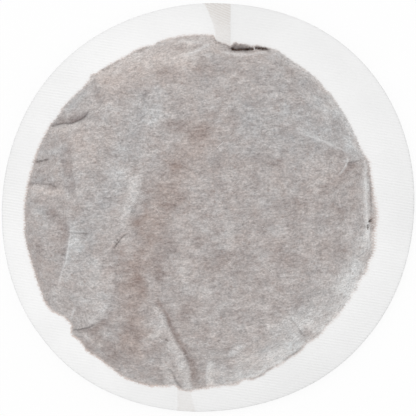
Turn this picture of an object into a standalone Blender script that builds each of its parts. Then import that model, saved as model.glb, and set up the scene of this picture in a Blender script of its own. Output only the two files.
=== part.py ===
"""A round filter pack: ground coffee sealed between two discs of soft filter paper.

The upper sheet lies over the coffee as a low, crumpled pillow, the lower sheet is a shallow basin
with a flat bottom, and outside the pillow the two sheets are pressed together into a flat, die-cut
flange. The pack is one sealed body. It lies on its flat bottom, with the origin on the surface
below the middle of the die-cut outline.
"""

import math
from collections import namedtuple

import bpy
import bmesh
from mathutils import Vector, kdtree, noise
from mathutils.geometry import delaunay_2d_cdt, intersect_point_line

MM = 0.001

# Plan of the pack
POUCH_RADIUS = 53.1 * MM        # mean radius of the line where the seal begins
FLANGE_WIDTH = 9.4 * MM         # mean width of the flange outside that line
POUCH_LEFT = 2.8 * MM           # the pillow sits this far left of the outline's middle
POUCH_BACK = 1.5 * MM           # and this far towards the front
OVAL_STRETCH = 1.0 * MM         # the outline is longer by this along OVAL_BEARING
OVAL_BEARING = 35.3
CORNER_SWELL = 0.55 * MM        # and a little square, with its corners on CORNER_BEARING
CORNER_BEARING = 45.7

# Heights
SEAL_HEIGHT = 4.2 * MM          # middle of the flange where it meets the pillow
FLANGE_THICKNESS = 0.5 * MM     # two sheets, pressed and embossed
FLANGE_DROOP = 0.8 * MM         # fall of the flange over its mean width
FLANGE_WAVE = 0.55 * MM         # slow waves of the flange's free edge
CROWN_RISE = 8.7 * MM           # rise of the upper sheet above the flange
CROWN_SHOULDER = 30.0 * MM      # distance in from the seal over which it rises
CROWN_FULLNESS = 3.4            # higher is a steeper wall and a flatter top
BASIN_CURVE = 11.0 * MM         # distance in from the seal to the flat bottom
BASIN_FULLNESS = 2.2

# Lumps of the coffee, and gathers of the paper along the seal
LUMP_RISE = 0.9 * MM
LUMP_WIDTH = 9.0 * MM
LUMP_LENGTH = 13.0 * MM
GATHER_RISE = 0.3 * MM
GATHER_PITCH = 7.3 * MM
GATHER_REACH = 7.0 * MM

# Folds of the upper sheet. A rise and a reach below are shares of these two.
FOLD_DEPTH = 1.2 * MM
FOLD_REACH = 4.0 * MM
FOLD_START = 1.2 * MM           # a fold of the pillow grows over this distance from the seal
PLEAT_RISE = 0.35 * MM          # doubled paper in the flange

# Spacing of the mesh points, and the angle from which an edge is shaded sharp
FINE_STEP = 2.3 * MM
COARSE_STEP = 3.6 * MM
SHARP_ANGLE = math.radians(40.0)

# The seal line wanders from its circle: a bearing about the pillow's middle in degrees, and how far
# out in millimetres. It jumps where a fold of the upper sheet was caught in the seal.
SEAL_LINE = (
    (0, 0.9), (16, 0.5), (18, -0.5), (36, 0.0), (50, 0.8), (65, 1.4), (72, -0.1), (80, -1.0),
    (84, -0.6), (86, 0.6), (100, 0.6), (114, -0.6), (128, -0.2), (131, -1.1), (152, -0.5),
    (182, -0.1), (211, 1.2), (220, -1.4), (222.5, 0.5), (236, 0.7), (249, 1.8), (262, -0.2),
    (265, 1.1), (274, 0.1), (302, -1.5), (318, -1.4), (338, -0.3), (341, 0.6), (353, 1.0),
)

# A fold follows a path of bearings about the pillow's middle in degrees and distances in from the
# seal line in millimetres. Rise is above the sheet, or below it for a valley. Left and right are
# how far it reaches on each side of its path.
Fold = namedtuple("Fold", "name rise left right path")

PILLOW_FOLDS = (
    Fold("left_upper_tuck", -0.75, 0.4, 1.1, ((149, 0.6), (145, 4.3), (140, 7.8), (135, 8.0))),
    Fold("left_upper_flap", 0.35, 1.0, 0.5, ((152, 1.5), (148, 5.2), (143, 9.5), (137, 10.6))),
    Fold("left_middle_tuck", -0.5, 0.4, 0.8, ((163, 0.3), (161, 4.0), (158, 9.4))),
    Fold("left_lower_tuck", -0.35, 0.5, 0.5, ((171, 0.4), (169.5, 5.6), (168.5, 14.0))),
    Fold("left_low_ridge", 0.3, 0.7, 0.7, ((173, 0.5), (172, 7.4), (175, 15.6))),
    Fold("upper_left_fold", 0.4, 0.8, 0.7, ((128.5, 0.2), (129, 4.5), (134, 8.2))),
    Fold("top_ridge", 0.65, 0.7, 0.9, ((84, 1.6), (90, 4.1), (95, 5.5), (102, 5.9))),
    Fold("top_hollow", -0.55, 0.6, 0.5, ((85.5, 0.6), (88, 2.6), (93, 3.6), (100, 3.6))),
    Fold("pocket", -2.3, 0.45, 0.6, ((84, 0.6), (77, 1.6), (69, 1.3), (61, 0.4))),
    Fold("pocket_ridge", 0.55, 0.5, 0.9, ((87, 4.8), (79, 4.4), (70, 4.2), (62, 1.6))),
    Fold("right_ridge", 0.6, 0.9, 0.6, ((43.5, 16.8), (32, 12.4), (24, 6.6), (19, 0.6))),
    Fold("right_corner", -0.55, 0.6, 0.9, ((18, 0.6), (18.5, 4.8), (16.5, 8.0), (14, 10.9))),
    Fold("right_edge_ridge", 0.45, 0.4, 0.9, ((15, 0.8), (5, 2.8), (355, 2.7), (345, 1.8))),
    Fold("right_edge_gutter", -0.5, 0.3, 0.3, ((13, 0.4), (4, 1.2), (354, 1.2), (347, 0.6))),
    Fold("lower_right_tuck", -0.35, 0.7, 0.9, ((313.5, 14.0), (313, 7.0), (312, 0.9))),
    Fold("bottom_valley", -0.9, 0.7, 0.6, ((246, 24.8), (256, 18.5), (263, 10.5), (267.4, 0.4))),
    Fold("bottom_left_ridge", 0.45, 0.5, 1.0, ((241, 24.5), (253, 18.0), (261, 9.0), (265, 1.5))),
    Fold("bottom_right_ridge", 0.4, 0.9, 0.7, ((277, 12.0), (274, 7.0), (272, 1.5))),
    Fold("bottom_notch", -0.45, 0.4, 0.4, ((256, 10.1), (262, 3.4), (266, 0.5))),
    Fold("lower_left_tuck", -0.8, 1.2, 0.4, ((222, 0.6), (226, 4.5), (228, 10.0), (226, 18.0))),
    Fold("lower_left_flap", 0.35, 0.5, 0.9, ((219, 0.8), (217, 4.5), (219, 11.0), (222, 19.0))),
    Fold("centre_step", 0.4, 0.5, 1.8, ((147, 31.5), (175, 31.5), (189, 29.5), (203, 25.0))),
    Fold("left_ridge", 0.4, 0.9, 0.6, ((186, 14.8), (197, 11.8), (208, 5.5))),
)

# Pleats of the flange, where doubled paper runs out to the cut edge. Their distances are out from
# the seal line.
FLANGE_PLEATS = (
    Fold("top_pleat_left", 1.0, 0.15, 1.1, ((84.5, -0.2), (88, -5.5), (90.5, -14.0))),
    Fold("top_pleat_right", 1.0, 1.1, 0.15, ((78.5, -0.2), (80, -5.5), (81.5, -14.0))),
    Fold("bottom_pleat", 0.8, 0.6, 0.15, ((264.5, -0.2), (264.5, -6.0), (265, -14.0))),
    Fold("right_pleat", 0.5, 0.2, 0.5, ((17.5, -0.2), (15.5, -6.0), (14.5, -14.0))),
)

PAPER_OVER_COFFEE = (0.43, 0.40, 0.385, 1.0)
PRESSED_PAPER = (0.86, 0.86, 0.85, 1.0)
PAPER_ROUGHNESS = 0.9


def smooth(share):
    """Eases a share from 0 to 1."""
    share = min(max(share, 0.0), 1.0)
    return share * share * (3.0 - 2.0 * share)


def seal_radius(bearing):
    """Radius of the seal line about the pillow's middle, at a bearing in degrees."""
    bearing %= 360.0
    knots = SEAL_LINE + ((SEAL_LINE[0][0] + 360.0, SEAL_LINE[0][1]),)
    for (before, low), (after, high) in zip(knots, knots[1:]):
        if bearing <= after:
            share = smooth((bearing - before) / (after - before))
            return POUCH_RADIUS + (low + (high - low) * share) * MM


def pouch_point(bearing, inset):
    """Point of the plan at a bearing about the pillow's middle, a distance in from the seal line."""
    angle = math.radians(bearing)
    radius = seal_radius(bearing) - inset
    return Vector((radius * math.cos(angle) - POUCH_LEFT, radius * math.sin(angle) - POUCH_BACK))


def pouch_place(point):
    """Bearing and inset of a point of the plan: the inverse of pouch_point."""
    across = point.x + POUCH_LEFT
    along = point.y + POUCH_BACK
    bearing = math.degrees(math.atan2(along, across)) % 360.0
    return bearing, seal_radius(bearing) - math.hypot(across, along)


def outline_radius(bearing):
    """Radius of the die-cut outline about its own middle."""
    oval = OVAL_STRETCH * math.cos(2.0 * math.radians(bearing - OVAL_BEARING))
    corners = CORNER_SWELL * math.cos(4.0 * math.radians(bearing - CORNER_BEARING))
    return POUCH_RADIUS + FLANGE_WIDTH + oval + corners


def outline_point(bearing):
    angle = math.radians(bearing)
    return outline_radius(bearing) * Vector((math.cos(angle), math.sin(angle)))


def fold_path(fold):
    """Path of a fold on the plan, with its corners cut once so that it bends as paper does."""
    corners = [pouch_point(bearing, inset * MM) for bearing, inset in fold.path]
    path = [corners[0]]
    for start, end in zip(corners, corners[1:]):
        path += [start.lerp(end, 0.25), start.lerp(end, 0.75)]
    return path + [corners[-1]]


PILLOW_PATHS = [(fold, fold_path(fold)) for fold in PILLOW_FOLDS]
PLEAT_PATHS = [(pleat, fold_path(pleat)) for pleat in FLANGE_PLEATS]


def fold_share(fold, path, point):
    """How strongly a point feels a fold, from 1 on its path to 0 at its reach."""
    nearest = None
    for step, (start, end) in enumerate(zip(path, path[1:])):
        foot, share = intersect_point_line(point, start, end)
        share = min(max(share, 0.0), 1.0)
        away = point - start.lerp(end, share)
        if nearest is None or away.length < nearest[0]:
            side = (end - start).cross(away)
            nearest = (away.length, side, (step + share) / (len(path) - 1))
    distance, side, along = nearest
    reach = FOLD_REACH * (fold.left if side > 0.0 else fold.right)
    if distance >= reach:
        return 0.0
    tail = smooth(min(along, 1.0 - along) / 0.2)
    return tail * (1.0 - distance / reach) ** 1.6


def flange_height(bearing, out):
    """Middle of the flange's thickness, a distance out from the seal line."""
    share = max(out, 0.0) / FLANGE_WIDTH
    angle = math.radians(bearing)
    wave = noise.noise(Vector((2.2 * math.cos(angle), 2.2 * math.sin(angle), 4.0)))
    return SEAL_HEIGHT - FLANGE_DROOP * share ** 1.3 + 2.0 * FLANGE_WAVE * wave * smooth(share)


def gathers(bearing, inset, seed):
    """Short radial gathers, which fade in from the seal."""
    turns = round(2.0 * math.pi * POUCH_RADIUS / GATHER_PITCH)
    angle = math.radians(bearing)
    drift = noise.noise(Vector((3.0 * math.cos(angle), 3.0 * math.sin(angle), seed)))
    swell = math.sin(turns * angle + 7.0 * drift)
    return GATHER_RISE * swell * smooth(inset / FOLD_START) * (1.0 - smooth(inset / GATHER_REACH))


def lower_height(point):
    """Underside of the pack: a basin with a flat bottom, and the flange."""
    bearing, inset = pouch_place(point)
    if inset <= 0.0:
        return flange_height(bearing, -inset) - FLANGE_THICKNESS / 2.0
    if inset >= BASIN_CURVE:
        return 0.0
    rise = (1.0 - inset / BASIN_CURVE) ** BASIN_FULLNESS
    basin = (SEAL_HEIGHT - FLANGE_THICKNESS / 2.0) * rise
    return max(basin + gathers(bearing, inset, 9.0) * rise ** 0.5, 0.0)


def upper_height(point):
    """Upper side of the pack: the pillow with its lumps and folds, and the flange."""
    bearing, inset = pouch_place(point)
    if inset <= 0.0:
        pleat = sum(pleat.rise * fold_share(pleat, path, point) for pleat, path in PLEAT_PATHS)
        pleat *= PLEAT_RISE * smooth(-inset / FOLD_START)
        return flange_height(bearing, -inset) + FLANGE_THICKNESS / 2.0 + pleat
    shoulder = min(inset / CROWN_SHOULDER, 1.0)
    crown = CROWN_RISE * (1.0 - (1.0 - shoulder) ** CROWN_FULLNESS)
    lump = noise.fractal(Vector((point.x / LUMP_WIDTH, point.y / LUMP_LENGTH, 1.7)), 1.0, 2.1, 3)
    lump *= LUMP_RISE * smooth(inset / FOLD_REACH)
    folds = sum(fold.rise * fold_share(fold, path, point) for fold, path in PILLOW_PATHS)
    folds *= FOLD_DEPTH * smooth(inset / FOLD_START)
    sheet = SEAL_HEIGHT + FLANGE_THICKNESS / 2.0 + crown + lump + folds
    sheet += gathers(bearing, inset, 2.0)
    return max(sheet, lower_height(point) + FLANGE_THICKNESS)


def ring(point_at, step):
    """Closed loop of points about a step apart."""
    count = round(2.0 * math.pi * POUCH_RADIUS / step)
    return [point_at(360.0 * turn / count) for turn in range(count)]


def plan_mesh(outline, loops, lines, step, innermost):
    """Triangles of a flat sheet that keep every loop and line as edges.

    Between them the sheet is filled with evenly spaced points, out to innermost from the seal.
    """
    points = list(outline)
    count = len(outline)
    edges = []
    for loop in loops:
        first = len(points)
        points += loop
        edges += [(first + i, first + (i + 1) % len(loop)) for i in range(len(loop))]
    for line in lines:
        first = len(points)
        points += line
        edges += [(first + i, first + i + 1) for i in range(len(line) - 1)]
    guides = kdtree.KDTree(len(points))
    for index, point in enumerate(points):
        guides.insert(point.to_3d(), index)
    guides.balance()
    reach = max(point.length for point in outline)
    rows = int(reach / (step * math.sqrt(0.75))) + 1
    for row in range(-rows, rows + 1):
        columns = int(reach / step) + 1
        for column in range(-columns, columns + 1):
            point = Vector(((column + 0.5 * (row % 2)) * step, row * step * math.sqrt(0.75)))
            bearing = math.degrees(math.atan2(point.y, point.x))
            inside = outline_radius(bearing) - point.length > 0.5 * step
            clear = guides.find(point.to_3d())[2] > 0.6 * step
            if inside and clear and pouch_place(point)[1] < innermost:
                points.append(point)
    result = delaunay_2d_cdt(points, edges, [list(range(count))], 1, 0.00001)
    return result[0], result[2]


def add_sheet(form, plan, height):
    """Adds a flat triangulated sheet to a bmesh, each point at its height."""
    points, faces = plan
    corners = [form.verts.new((point.x, point.y, height(point))) for point in points]
    return [form.faces.new([corners[index] for index in face]) for face in faces]


def inside_outline(path):
    """The stretch of a pleat's path that lies inside the cut edge."""
    def room(point):
        bearing = math.degrees(math.atan2(point.y, point.x))
        return outline_radius(bearing) - point.length
    return [point for point in path if room(point) > 0.3 * FINE_STEP]


def paper(name, colour):
    material = bpy.data.materials.new(name)
    material.use_nodes = True
    shader = material.node_tree.nodes["Principled BSDF"]
    shader.inputs["Base Color"].default_value = colour
    shader.inputs["Roughness"].default_value = PAPER_ROUGHNESS
    shader.inputs["Metallic"].default_value = 0.0
    material.diffuse_color = colour
    return material


def filter_pack():
    """The sealed pack: two shaped sheets, joined all round at the cut edge of the flange."""
    outline = ring(outline_point, FINE_STEP)
    seal = ring(lambda bearing: pouch_point(bearing, 0.0), FINE_STEP)
    bottom = ring(lambda bearing: pouch_point(bearing, BASIN_CURVE), COARSE_STEP)
    folds = [path for fold, path in PILLOW_PATHS]
    pleats = [inside_outline(path) for pleat, path in PLEAT_PATHS]
    form = bmesh.new()
    upper = plan_mesh(outline, [seal], folds + pleats, FINE_STEP, POUCH_RADIUS * 2.0)
    add_sheet(form, upper, upper_height)
    lower = plan_mesh(outline, [seal, bottom], [], COARSE_STEP, BASIN_CURVE - COARSE_STEP / 2.0)
    bmesh.ops.reverse_faces(form, faces=add_sheet(form, lower, lower_height))
    rim = [edge for edge in form.edges if edge.is_boundary]
    bmesh.ops.bridge_loops(form, edges=rim)
    bmesh.ops.recalc_face_normals(form, faces=form.faces[:])
    for face in form.faces:
        middle = face.calc_center_median().to_2d()
        face.material_index = 0 if pouch_place(middle)[1] > 0.0 else 1
        face.smooth = True
    for edge in form.edges:
        one_side, other_side = edge.link_faces
        at_seal = one_side.material_index != other_side.material_index
        edge.smooth = edge.calc_face_angle() < SHARP_ANGLE and not at_seal
    mesh = bpy.data.meshes.new("filter_pack")
    form.to_mesh(mesh)
    form.free()
    mesh.materials.append(paper("paper_over_coffee", PAPER_OVER_COFFEE))
    mesh.materials.append(paper("pressed_paper", PRESSED_PAPER))
    pack = bpy.data.objects.new("filter_pack", mesh)
    bpy.context.scene.collection.objects.link(pack)
    return pack


for leftover in list(bpy.data.objects):
    bpy.data.objects.remove(leftover)
filter_pack()
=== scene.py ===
"""Dresses the filter pack: a soft pillow of coffee between two sealed discs of filter paper.

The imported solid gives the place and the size. The pack is modelled over it again with every fold
of the photograph, its embossed flange, its stray fibres and the coffee that shows at the seal, and
it is shown on a plain white floor from straight above.
"""

import math
import random
from collections import namedtuple

import bpy
import numpy as np
from bpy.props import FloatProperty, FloatVectorProperty, IntProperty, PointerProperty
from bpy.types import Operator, Panel, PropertyGroup
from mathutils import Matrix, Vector, kdtree, noise
from mathutils.bvhtree import BVHTree
from mathutils.geometry import delaunay_2d_cdt


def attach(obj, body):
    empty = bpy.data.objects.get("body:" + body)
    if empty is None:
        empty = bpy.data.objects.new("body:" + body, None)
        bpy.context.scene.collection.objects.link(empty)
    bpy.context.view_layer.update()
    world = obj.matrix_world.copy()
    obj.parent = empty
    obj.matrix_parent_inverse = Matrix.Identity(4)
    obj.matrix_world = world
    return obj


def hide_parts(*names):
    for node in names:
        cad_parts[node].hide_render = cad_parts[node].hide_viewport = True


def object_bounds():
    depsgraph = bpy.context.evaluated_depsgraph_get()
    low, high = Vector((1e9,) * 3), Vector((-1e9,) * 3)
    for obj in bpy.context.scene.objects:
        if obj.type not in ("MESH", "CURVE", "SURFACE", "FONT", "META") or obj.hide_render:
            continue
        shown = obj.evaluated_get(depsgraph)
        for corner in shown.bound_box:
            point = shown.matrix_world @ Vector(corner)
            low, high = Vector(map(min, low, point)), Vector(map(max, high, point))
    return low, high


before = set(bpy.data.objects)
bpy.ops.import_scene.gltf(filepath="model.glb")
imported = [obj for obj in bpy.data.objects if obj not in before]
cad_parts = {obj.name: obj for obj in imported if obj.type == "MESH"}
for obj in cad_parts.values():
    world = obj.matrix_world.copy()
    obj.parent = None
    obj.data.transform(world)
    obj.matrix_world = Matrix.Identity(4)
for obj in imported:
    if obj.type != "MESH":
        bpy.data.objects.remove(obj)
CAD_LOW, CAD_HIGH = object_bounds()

bl_info = {
    "name": "Filter pack",
    "version": (1, 0, 0),
    "blender": (4, 5, 0),
    "location": "3D View > Sidebar > Filter pack",
    "description": "Models a sealed filter pack of ground coffee with its folds and embossed flange",
    "category": "Object",
}

MM = 0.001
FULL_TURN = 2.0 * math.pi
ORIGIN = (0.0, 0.0, 0.0)
NODE = "filter_pack"

# The photograph: its side and the pixel at the middle of the pack's outline. Its width at the flange
# follows from the pack's real size.
PHOTO_SIDE = 416
PHOTO_MIDDLE = (208.3, 207.3)
PHOTO_WIDTH = 125.55 * MM
PHOTO_PIXEL = PHOTO_WIDTH / PHOTO_SIDE

# Plan of the pack that the panel doesn't offer: the pillow is off centre, and the outline is a
# little longer along one bearing and a little square.
POUCH_LEFT = 2.8 * MM
POUCH_BACK = 1.5 * MM
OVAL_STRETCH = 1.0 * MM
OVAL_BEARING = 35.3
CORNER_SWELL = 0.55 * MM
CORNER_BEARING = 45.7
CAD_RADIUS = (CAD_HIGH.x - CAD_LOW.x + CAD_HIGH.y - CAD_LOW.y) / 4.0
MEAN_RADIUS = CAD_RADIUS + CORNER_SWELL

# Shape of the two sides: droop and waves of the flange, fullness of crown and basin, waves of the
# coffee's lumps and how far in they start
FLANGE_DROOP = 0.8 * MM
DROOP_POWER = 1.3
FLANGE_WAVE = 0.55 * MM
FLANGE_WAVES = 2.2
CROWN_FULLNESS = 3.4
BASIN_FULLNESS = 2.2
LUMP_SIZE = (9.0 * MM, 13.0 * MM)
LUMP_START = 4.0 * MM

# Gathers along the seal: their mean pitch, how far in they reach, and how they drift off that pitch
GATHER_PITCH = 7.3 * MM
GATHER_REACH = 7.0 * MM
GATHER_DRIFT = 7.0
GATHER_DRIFT_WAVES = 3.0

# Crumples, deepest near the seal, dents of the flat bottom, and grains that press through the paper
CRUMPLE_SIZE = (6.5 * MM, 8.0 * MM)
CRUMPLE_SHARPNESS = 2.2
CRUMPLE_REACH = 14.0 * MM
MIDDLE_CRUMPLES = 0.35
DENT_START = 0.6
GRAIN_SIZE = (1.5 * MM, 1.2 * MM)

# A fold starts a little way in from the seal. Its two sides blend into each other, over a shorter way
# where its line is marked, and it fades out over its ends. Paper sinks no deeper below the seal.
FOLD_START = 1.2 * MM
FOLD_BLEND = 0.15 * MM
SOFT_BLEND = 0.7 * MM
MARKED_LINE = 0.1
LINE_REACH = 3.0
FOLD_TAIL = 0.2
FOLD_ROUNDING = 0.6
# How strongly a fold's sides are painted paler or darker: painted light and shade of its slopes, partly paper
# standing off the coffee
FOLD_PALER = 1.4
DEEPEST_FOLD = 0.8 * MM

# Folds and tints follow paths with cut corners, which wander a little
CORNER_CUTS = 2
PATH_STEP = 0.6 * MM
PATH_WANDER = 0.28 * MM
PATH_WANDER_LENGTH = 2.4 * MM

# Small tucks all round the seal: how many each side has, how far one strays as a share of their
# pitch, how many degrees it keeps from a main fold and may lean, and the share of that half way. Its
# start, its length, its rise and its reach to the left and right are in millimetres. A third are sunk.
UPPER_TUCKS = 46
LOWER_TUCKS = 64
TUCK_STRAY = 0.35
TUCK_CLEARANCE = 2.5
TUCK_LEAN = 5.0
TUCK_BEND = 0.3
TUCK_START = 0.3
TUCK_LENGTH = (3.0, 11.0)
TUCK_SIGNS = (-1.0, 1.0, 1.0)
TUCK_RISE = (0.1, 0.32)
TUCK_LEFT = (0.6, 1.6)
TUCK_RIGHT = (1.2, 2.8)

# Pleats of the flange: the degrees over which their paper starts, how much of their grey is lost at
# the seal, and how deep their ribs are
PLEAT_EDGE = 0.25
PLEAT_FADE = 0.35
PLEAT_RIBS = 1.3

# Tints: paper that stands off the coffee is paler, the edge of a tint drifts in waves by a share of
# its reach, the underside has clouds, and the pillow's rim is paler over its reach, partly as painted
# light against the shading of its steep slope
LIFT_REACH = 0.8 * MM
LIFT_PALER = 0.3
TINT_WAVE = (4.5 * MM, 4.5 * MM)
TINT_DRIFT = 0.3
TINT_MARGIN = 1.6
UNDER_CLOUDS = 1.3
UNDER_CLOUD_SIZE = (17.0 * MM, 12.0 * MM)
RIM_REACH = 3.2 * MM

# Noise: how its octaves fade and shrink, and the seeds of all noise and random draws
OCTAVE_FADE = 1.0
OCTAVE_SHRINK = 2.1
LUMP_SEED = 1.7
UPPER_GATHER_SEED = 2.0
FLANGE_SEED = 4.0
GRAIN_SEED = 5.0
RIB_SEED = 6.0
LOWER_GATHER_SEED = 9.0
UPPER_CRUMPLE_SEED = 17.0
LOWER_CRUMPLE_SEED = 31.0
DENT_SEED = 37.0
CLOUD_SEEDS = (43.0, 47.0)
DRIFT_SEEDS = (51.0, 57.0)
WANDER_SEEDS = (61.0, 67.0)
SHEET_SEED = 3
COFFEE_SEED = 5
FIBRE_SEED = 9
UPPER_TUCK_SEED = 11
LOWER_TUCK_SEED = 23

# Cloth simulation of the two sheets over the coffee. It runs twenty times larger than life, because
# cloth is tuned for sheets about a metre wide.
CLOTH_SCALE = 20.0
SHEET_STEP = 1.4 * MM
SHEET_JITTER = 0.22
SHEET_CLEARANCE = 0.6
SHEET_LIFT = 0.3 * MM
CORE_STEP = 2.0 * MM
CORE_EDGE = 1.2 * MM
CORE_GAP = 0.9 * MM
CORE_FLOOR = 0.6 * MM
SETTLE_FRAMES = 24
FARTHEST_MOVE = 1.6 * MM

# Embossing of the flange: rows of ribs that fall to the right, steeper in the top pleat, and that are
# worn shallower in patches
RIB_PITCH = 0.845 * MM
RIB_FALL = 9.0
PLEAT_PITCH = 0.745 * MM
PLEAT_FALL = 23.0
RIB_START = 0.5 * MM
RIB_WEAR = 0.9
RIB_WEAR_SIZE = (7.0 * MM, 3.0 * MM)

# Mesh points round the cut edge, the seal line and the flat bottom, in rows along the ribs, and in
# lines beside the line of a fold, with the margins that they keep from the seal and the cut edge
OUTLINE_POINTS = 1560
SEAL_POINTS = 1100
BOTTOM_POINTS = 300
ROWS_PER_RIB = 5
ROW_STEP = 1.1 * MM
ROW_REACH = 66.0 * MM
ROW_MARGIN = 0.18 * MM
GUIDE_OFFSETS = (-0.5 * MM, -0.15 * MM, 0.0, 0.15 * MM, 0.5 * MM)
PLEAT_OFFSETS = GUIDE_OFFSETS[1:4]
GUIDE_MARGIN = 0.15 * MM
CUT_MARGIN = 0.2 * MM

# Grid of mesh points between them: how far it goes past the mean seal line, as shares of its step how
# far it keeps from the seal and from other points, and how much coarser the flat bottom is
GRID_MARGIN = 6.0 * MM
SEAL_CLEARANCE = 0.3
POINT_CLEARANCE = 0.55
FLAT_COARSER = 2.2

# The seal line wanders from its circle: a bearing about the pillow's middle in degrees, and how far
# out in millimetres. It jumps where a fold of the upper sheet was caught in the seal.
SEAL_LINE = (
    (0, 0.4), (4, -0.05), (7, -0.25), (12, -0.25), (14.5, 0.0), (16.3, 0.4), (18, -0.1), (22, -0.7),
    (30, -0.4), (36, -0.15), (40, 0.1), (42, 0.4), (44, 0.1), (48, 0.65), (58, 0.55), (65, 1.15),
    (68.5, 0.45), (70.5, 0.4), (72.5, -0.7), (78.2, -0.8), (79.3, -1.9), (84, -1.4), (85.5, 0.45),
    (93, 0.35), (100, 0.1), (103, -0.2), (105.5, -0.9), (108, -0.55), (112, -0.6), (114, -1.05),
    (120, -1.15), (126, -1.1), (128, -0.4), (130, -1.4), (133, -1.75), (137, -1.6), (141, -1.35),
    (146, -1.55), (150, -1.1), (160, -1.0), (166, -1.05), (172, -0.75), (178, -0.5), (184, -0.55),
    (187, -0.1), (191, -0.2), (194, -0.45), (199, -0.4), (204, 0.0), (211, 0.65), (213.5, 0.4),
    (216, -0.85), (218, -1.7), (221.3, -1.95), (222.4, -1.0), (223.5, 0.1), (226.5, -0.2),
    (228.5, -0.1), (231, 0.65), (235, 0.25), (240, 0.6), (244, 1.3), (248, 1.55), (254, 1.35),
    (257, 0.6), (260, 0.0), (262, -0.45), (264, 0.5), (266, 0.9), (270, 0.2), (276, -0.4), (282, -0.1),
    (285, -0.85), (288, -0.3), (291, -0.4), (294, -1.05), (298, -1.0), (302, -1.5), (305, -1.25),
    (310, -1.85), (314, -1.25), (318, -1.5), (324, -1.05), (328, -0.95), (330, -0.6), (332, -1.15),
    (334, -0.2), (336, -0.8), (338, -0.45), (340, 0.4), (344, 0.0), (346, 0.7), (349, 0.75), (352, 0.3),
    (354, -0.05), (357, 0.45),
)

# How deep the embossing is by bearing, as a share of its full depth
RIB_STRENGTH = (
    (0, 1.0), (20, 0.8), (35, 0.35), (75, 0.35), (100, 0.4), (122, 0.7), (140, 0.9), (158, 0.6),
    (180, 1.0), (205, 0.7), (250, 0.5), (300, 0.9), (340, 1.0), (360, 1.0),
)

# How much paler the pillow's outermost rim is by bearing, partly paper standing off the coffee and
# partly painted light against the shading of the rim's steep slope, and how much coffee dust is
# pressed into the seal there
RIM_PALER = (
    (0, 1.0), (18, 1.0), (28, 2.4), (60, 2.4), (70, 1.2), (80, 0.3), (92, 0.9), (125, 0.9), (133, 0.2),
    (205, 0.0), (215, 0.3), (255, 0.4), (268, 1.6), (285, 3.2), (338, 3.2), (346, 1.6),
)
SEAL_STAIN = (
    (0, 0.75), (15, 0.6), (24, 0.15), (65, 0.15), (76, 0.5), (100, 0.6), (128, 0.6), (145, 0.5),
    (160, 0.8), (200, 0.8), (215, 1.1), (255, 1.2), (270, 0.7), (300, 0.7), (326, 0.4), (345, 0.6),
    (353, 0.75),
)

# How far the seal's edge follows the embossed ribs by bearing
COMB_STRENGTH = (
    (0, 1.0), (20, 0.7), (32, 0.2), (60, 0.1), (140, 0.1), (160, 0.45), (185, 0.4), (200, 0.1),
    (295, 0.1), (320, 0.5), (340, 1.0), (360, 1.0),
)

# Brightness of the flange by bearing, and what it loses on the way to the cut edge: painted shading
# of the flange's droop and waves
FLANGE_TONE = (
    (0, 0.99), (20, 1.01), (60, 0.995), (80, 0.97), (100, 1.02), (120, 1.035), (140, 1.015), (165, 1.0),
    (200, 1.045), (235, 1.035), (260, 0.985), (280, 0.985), (300, 0.965), (320, 1.0), (345, 1.015),
)
FLANGE_FADE = 0.035


def from_photo(pixels):
    """Points of the plan where the photograph has its pixels, counted from its top left corner."""
    across, down = np.array(pixels, float).T
    return np.column_stack([across - PHOTO_MIDDLE[0], PHOTO_MIDDLE[1] - down]) * PHOTO_PIXEL


# A fold follows a path of the plan. Its left and its right side each have their rise beside the path
# in millimetres, how much paler the paper is there, and how far that reaches in millimetres; that
# paleness is partly paper standing off the coffee and partly painted light and shade of the fold's
# slopes. Its line has how dark it is, as painted shade in the crease that is partly coffee showing
# through, or how pale below 0, as a painted highlight along a ridge or lip, and its half width in
# millimetres.
Fold = namedtuple("Fold", "name left right line path")


def from_rows(kind, *rows):
    """Folds or tints along paths whose points were read off the photograph."""
    return tuple(kind(*row[:4], from_photo(row[4:])) for row in rows)


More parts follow.
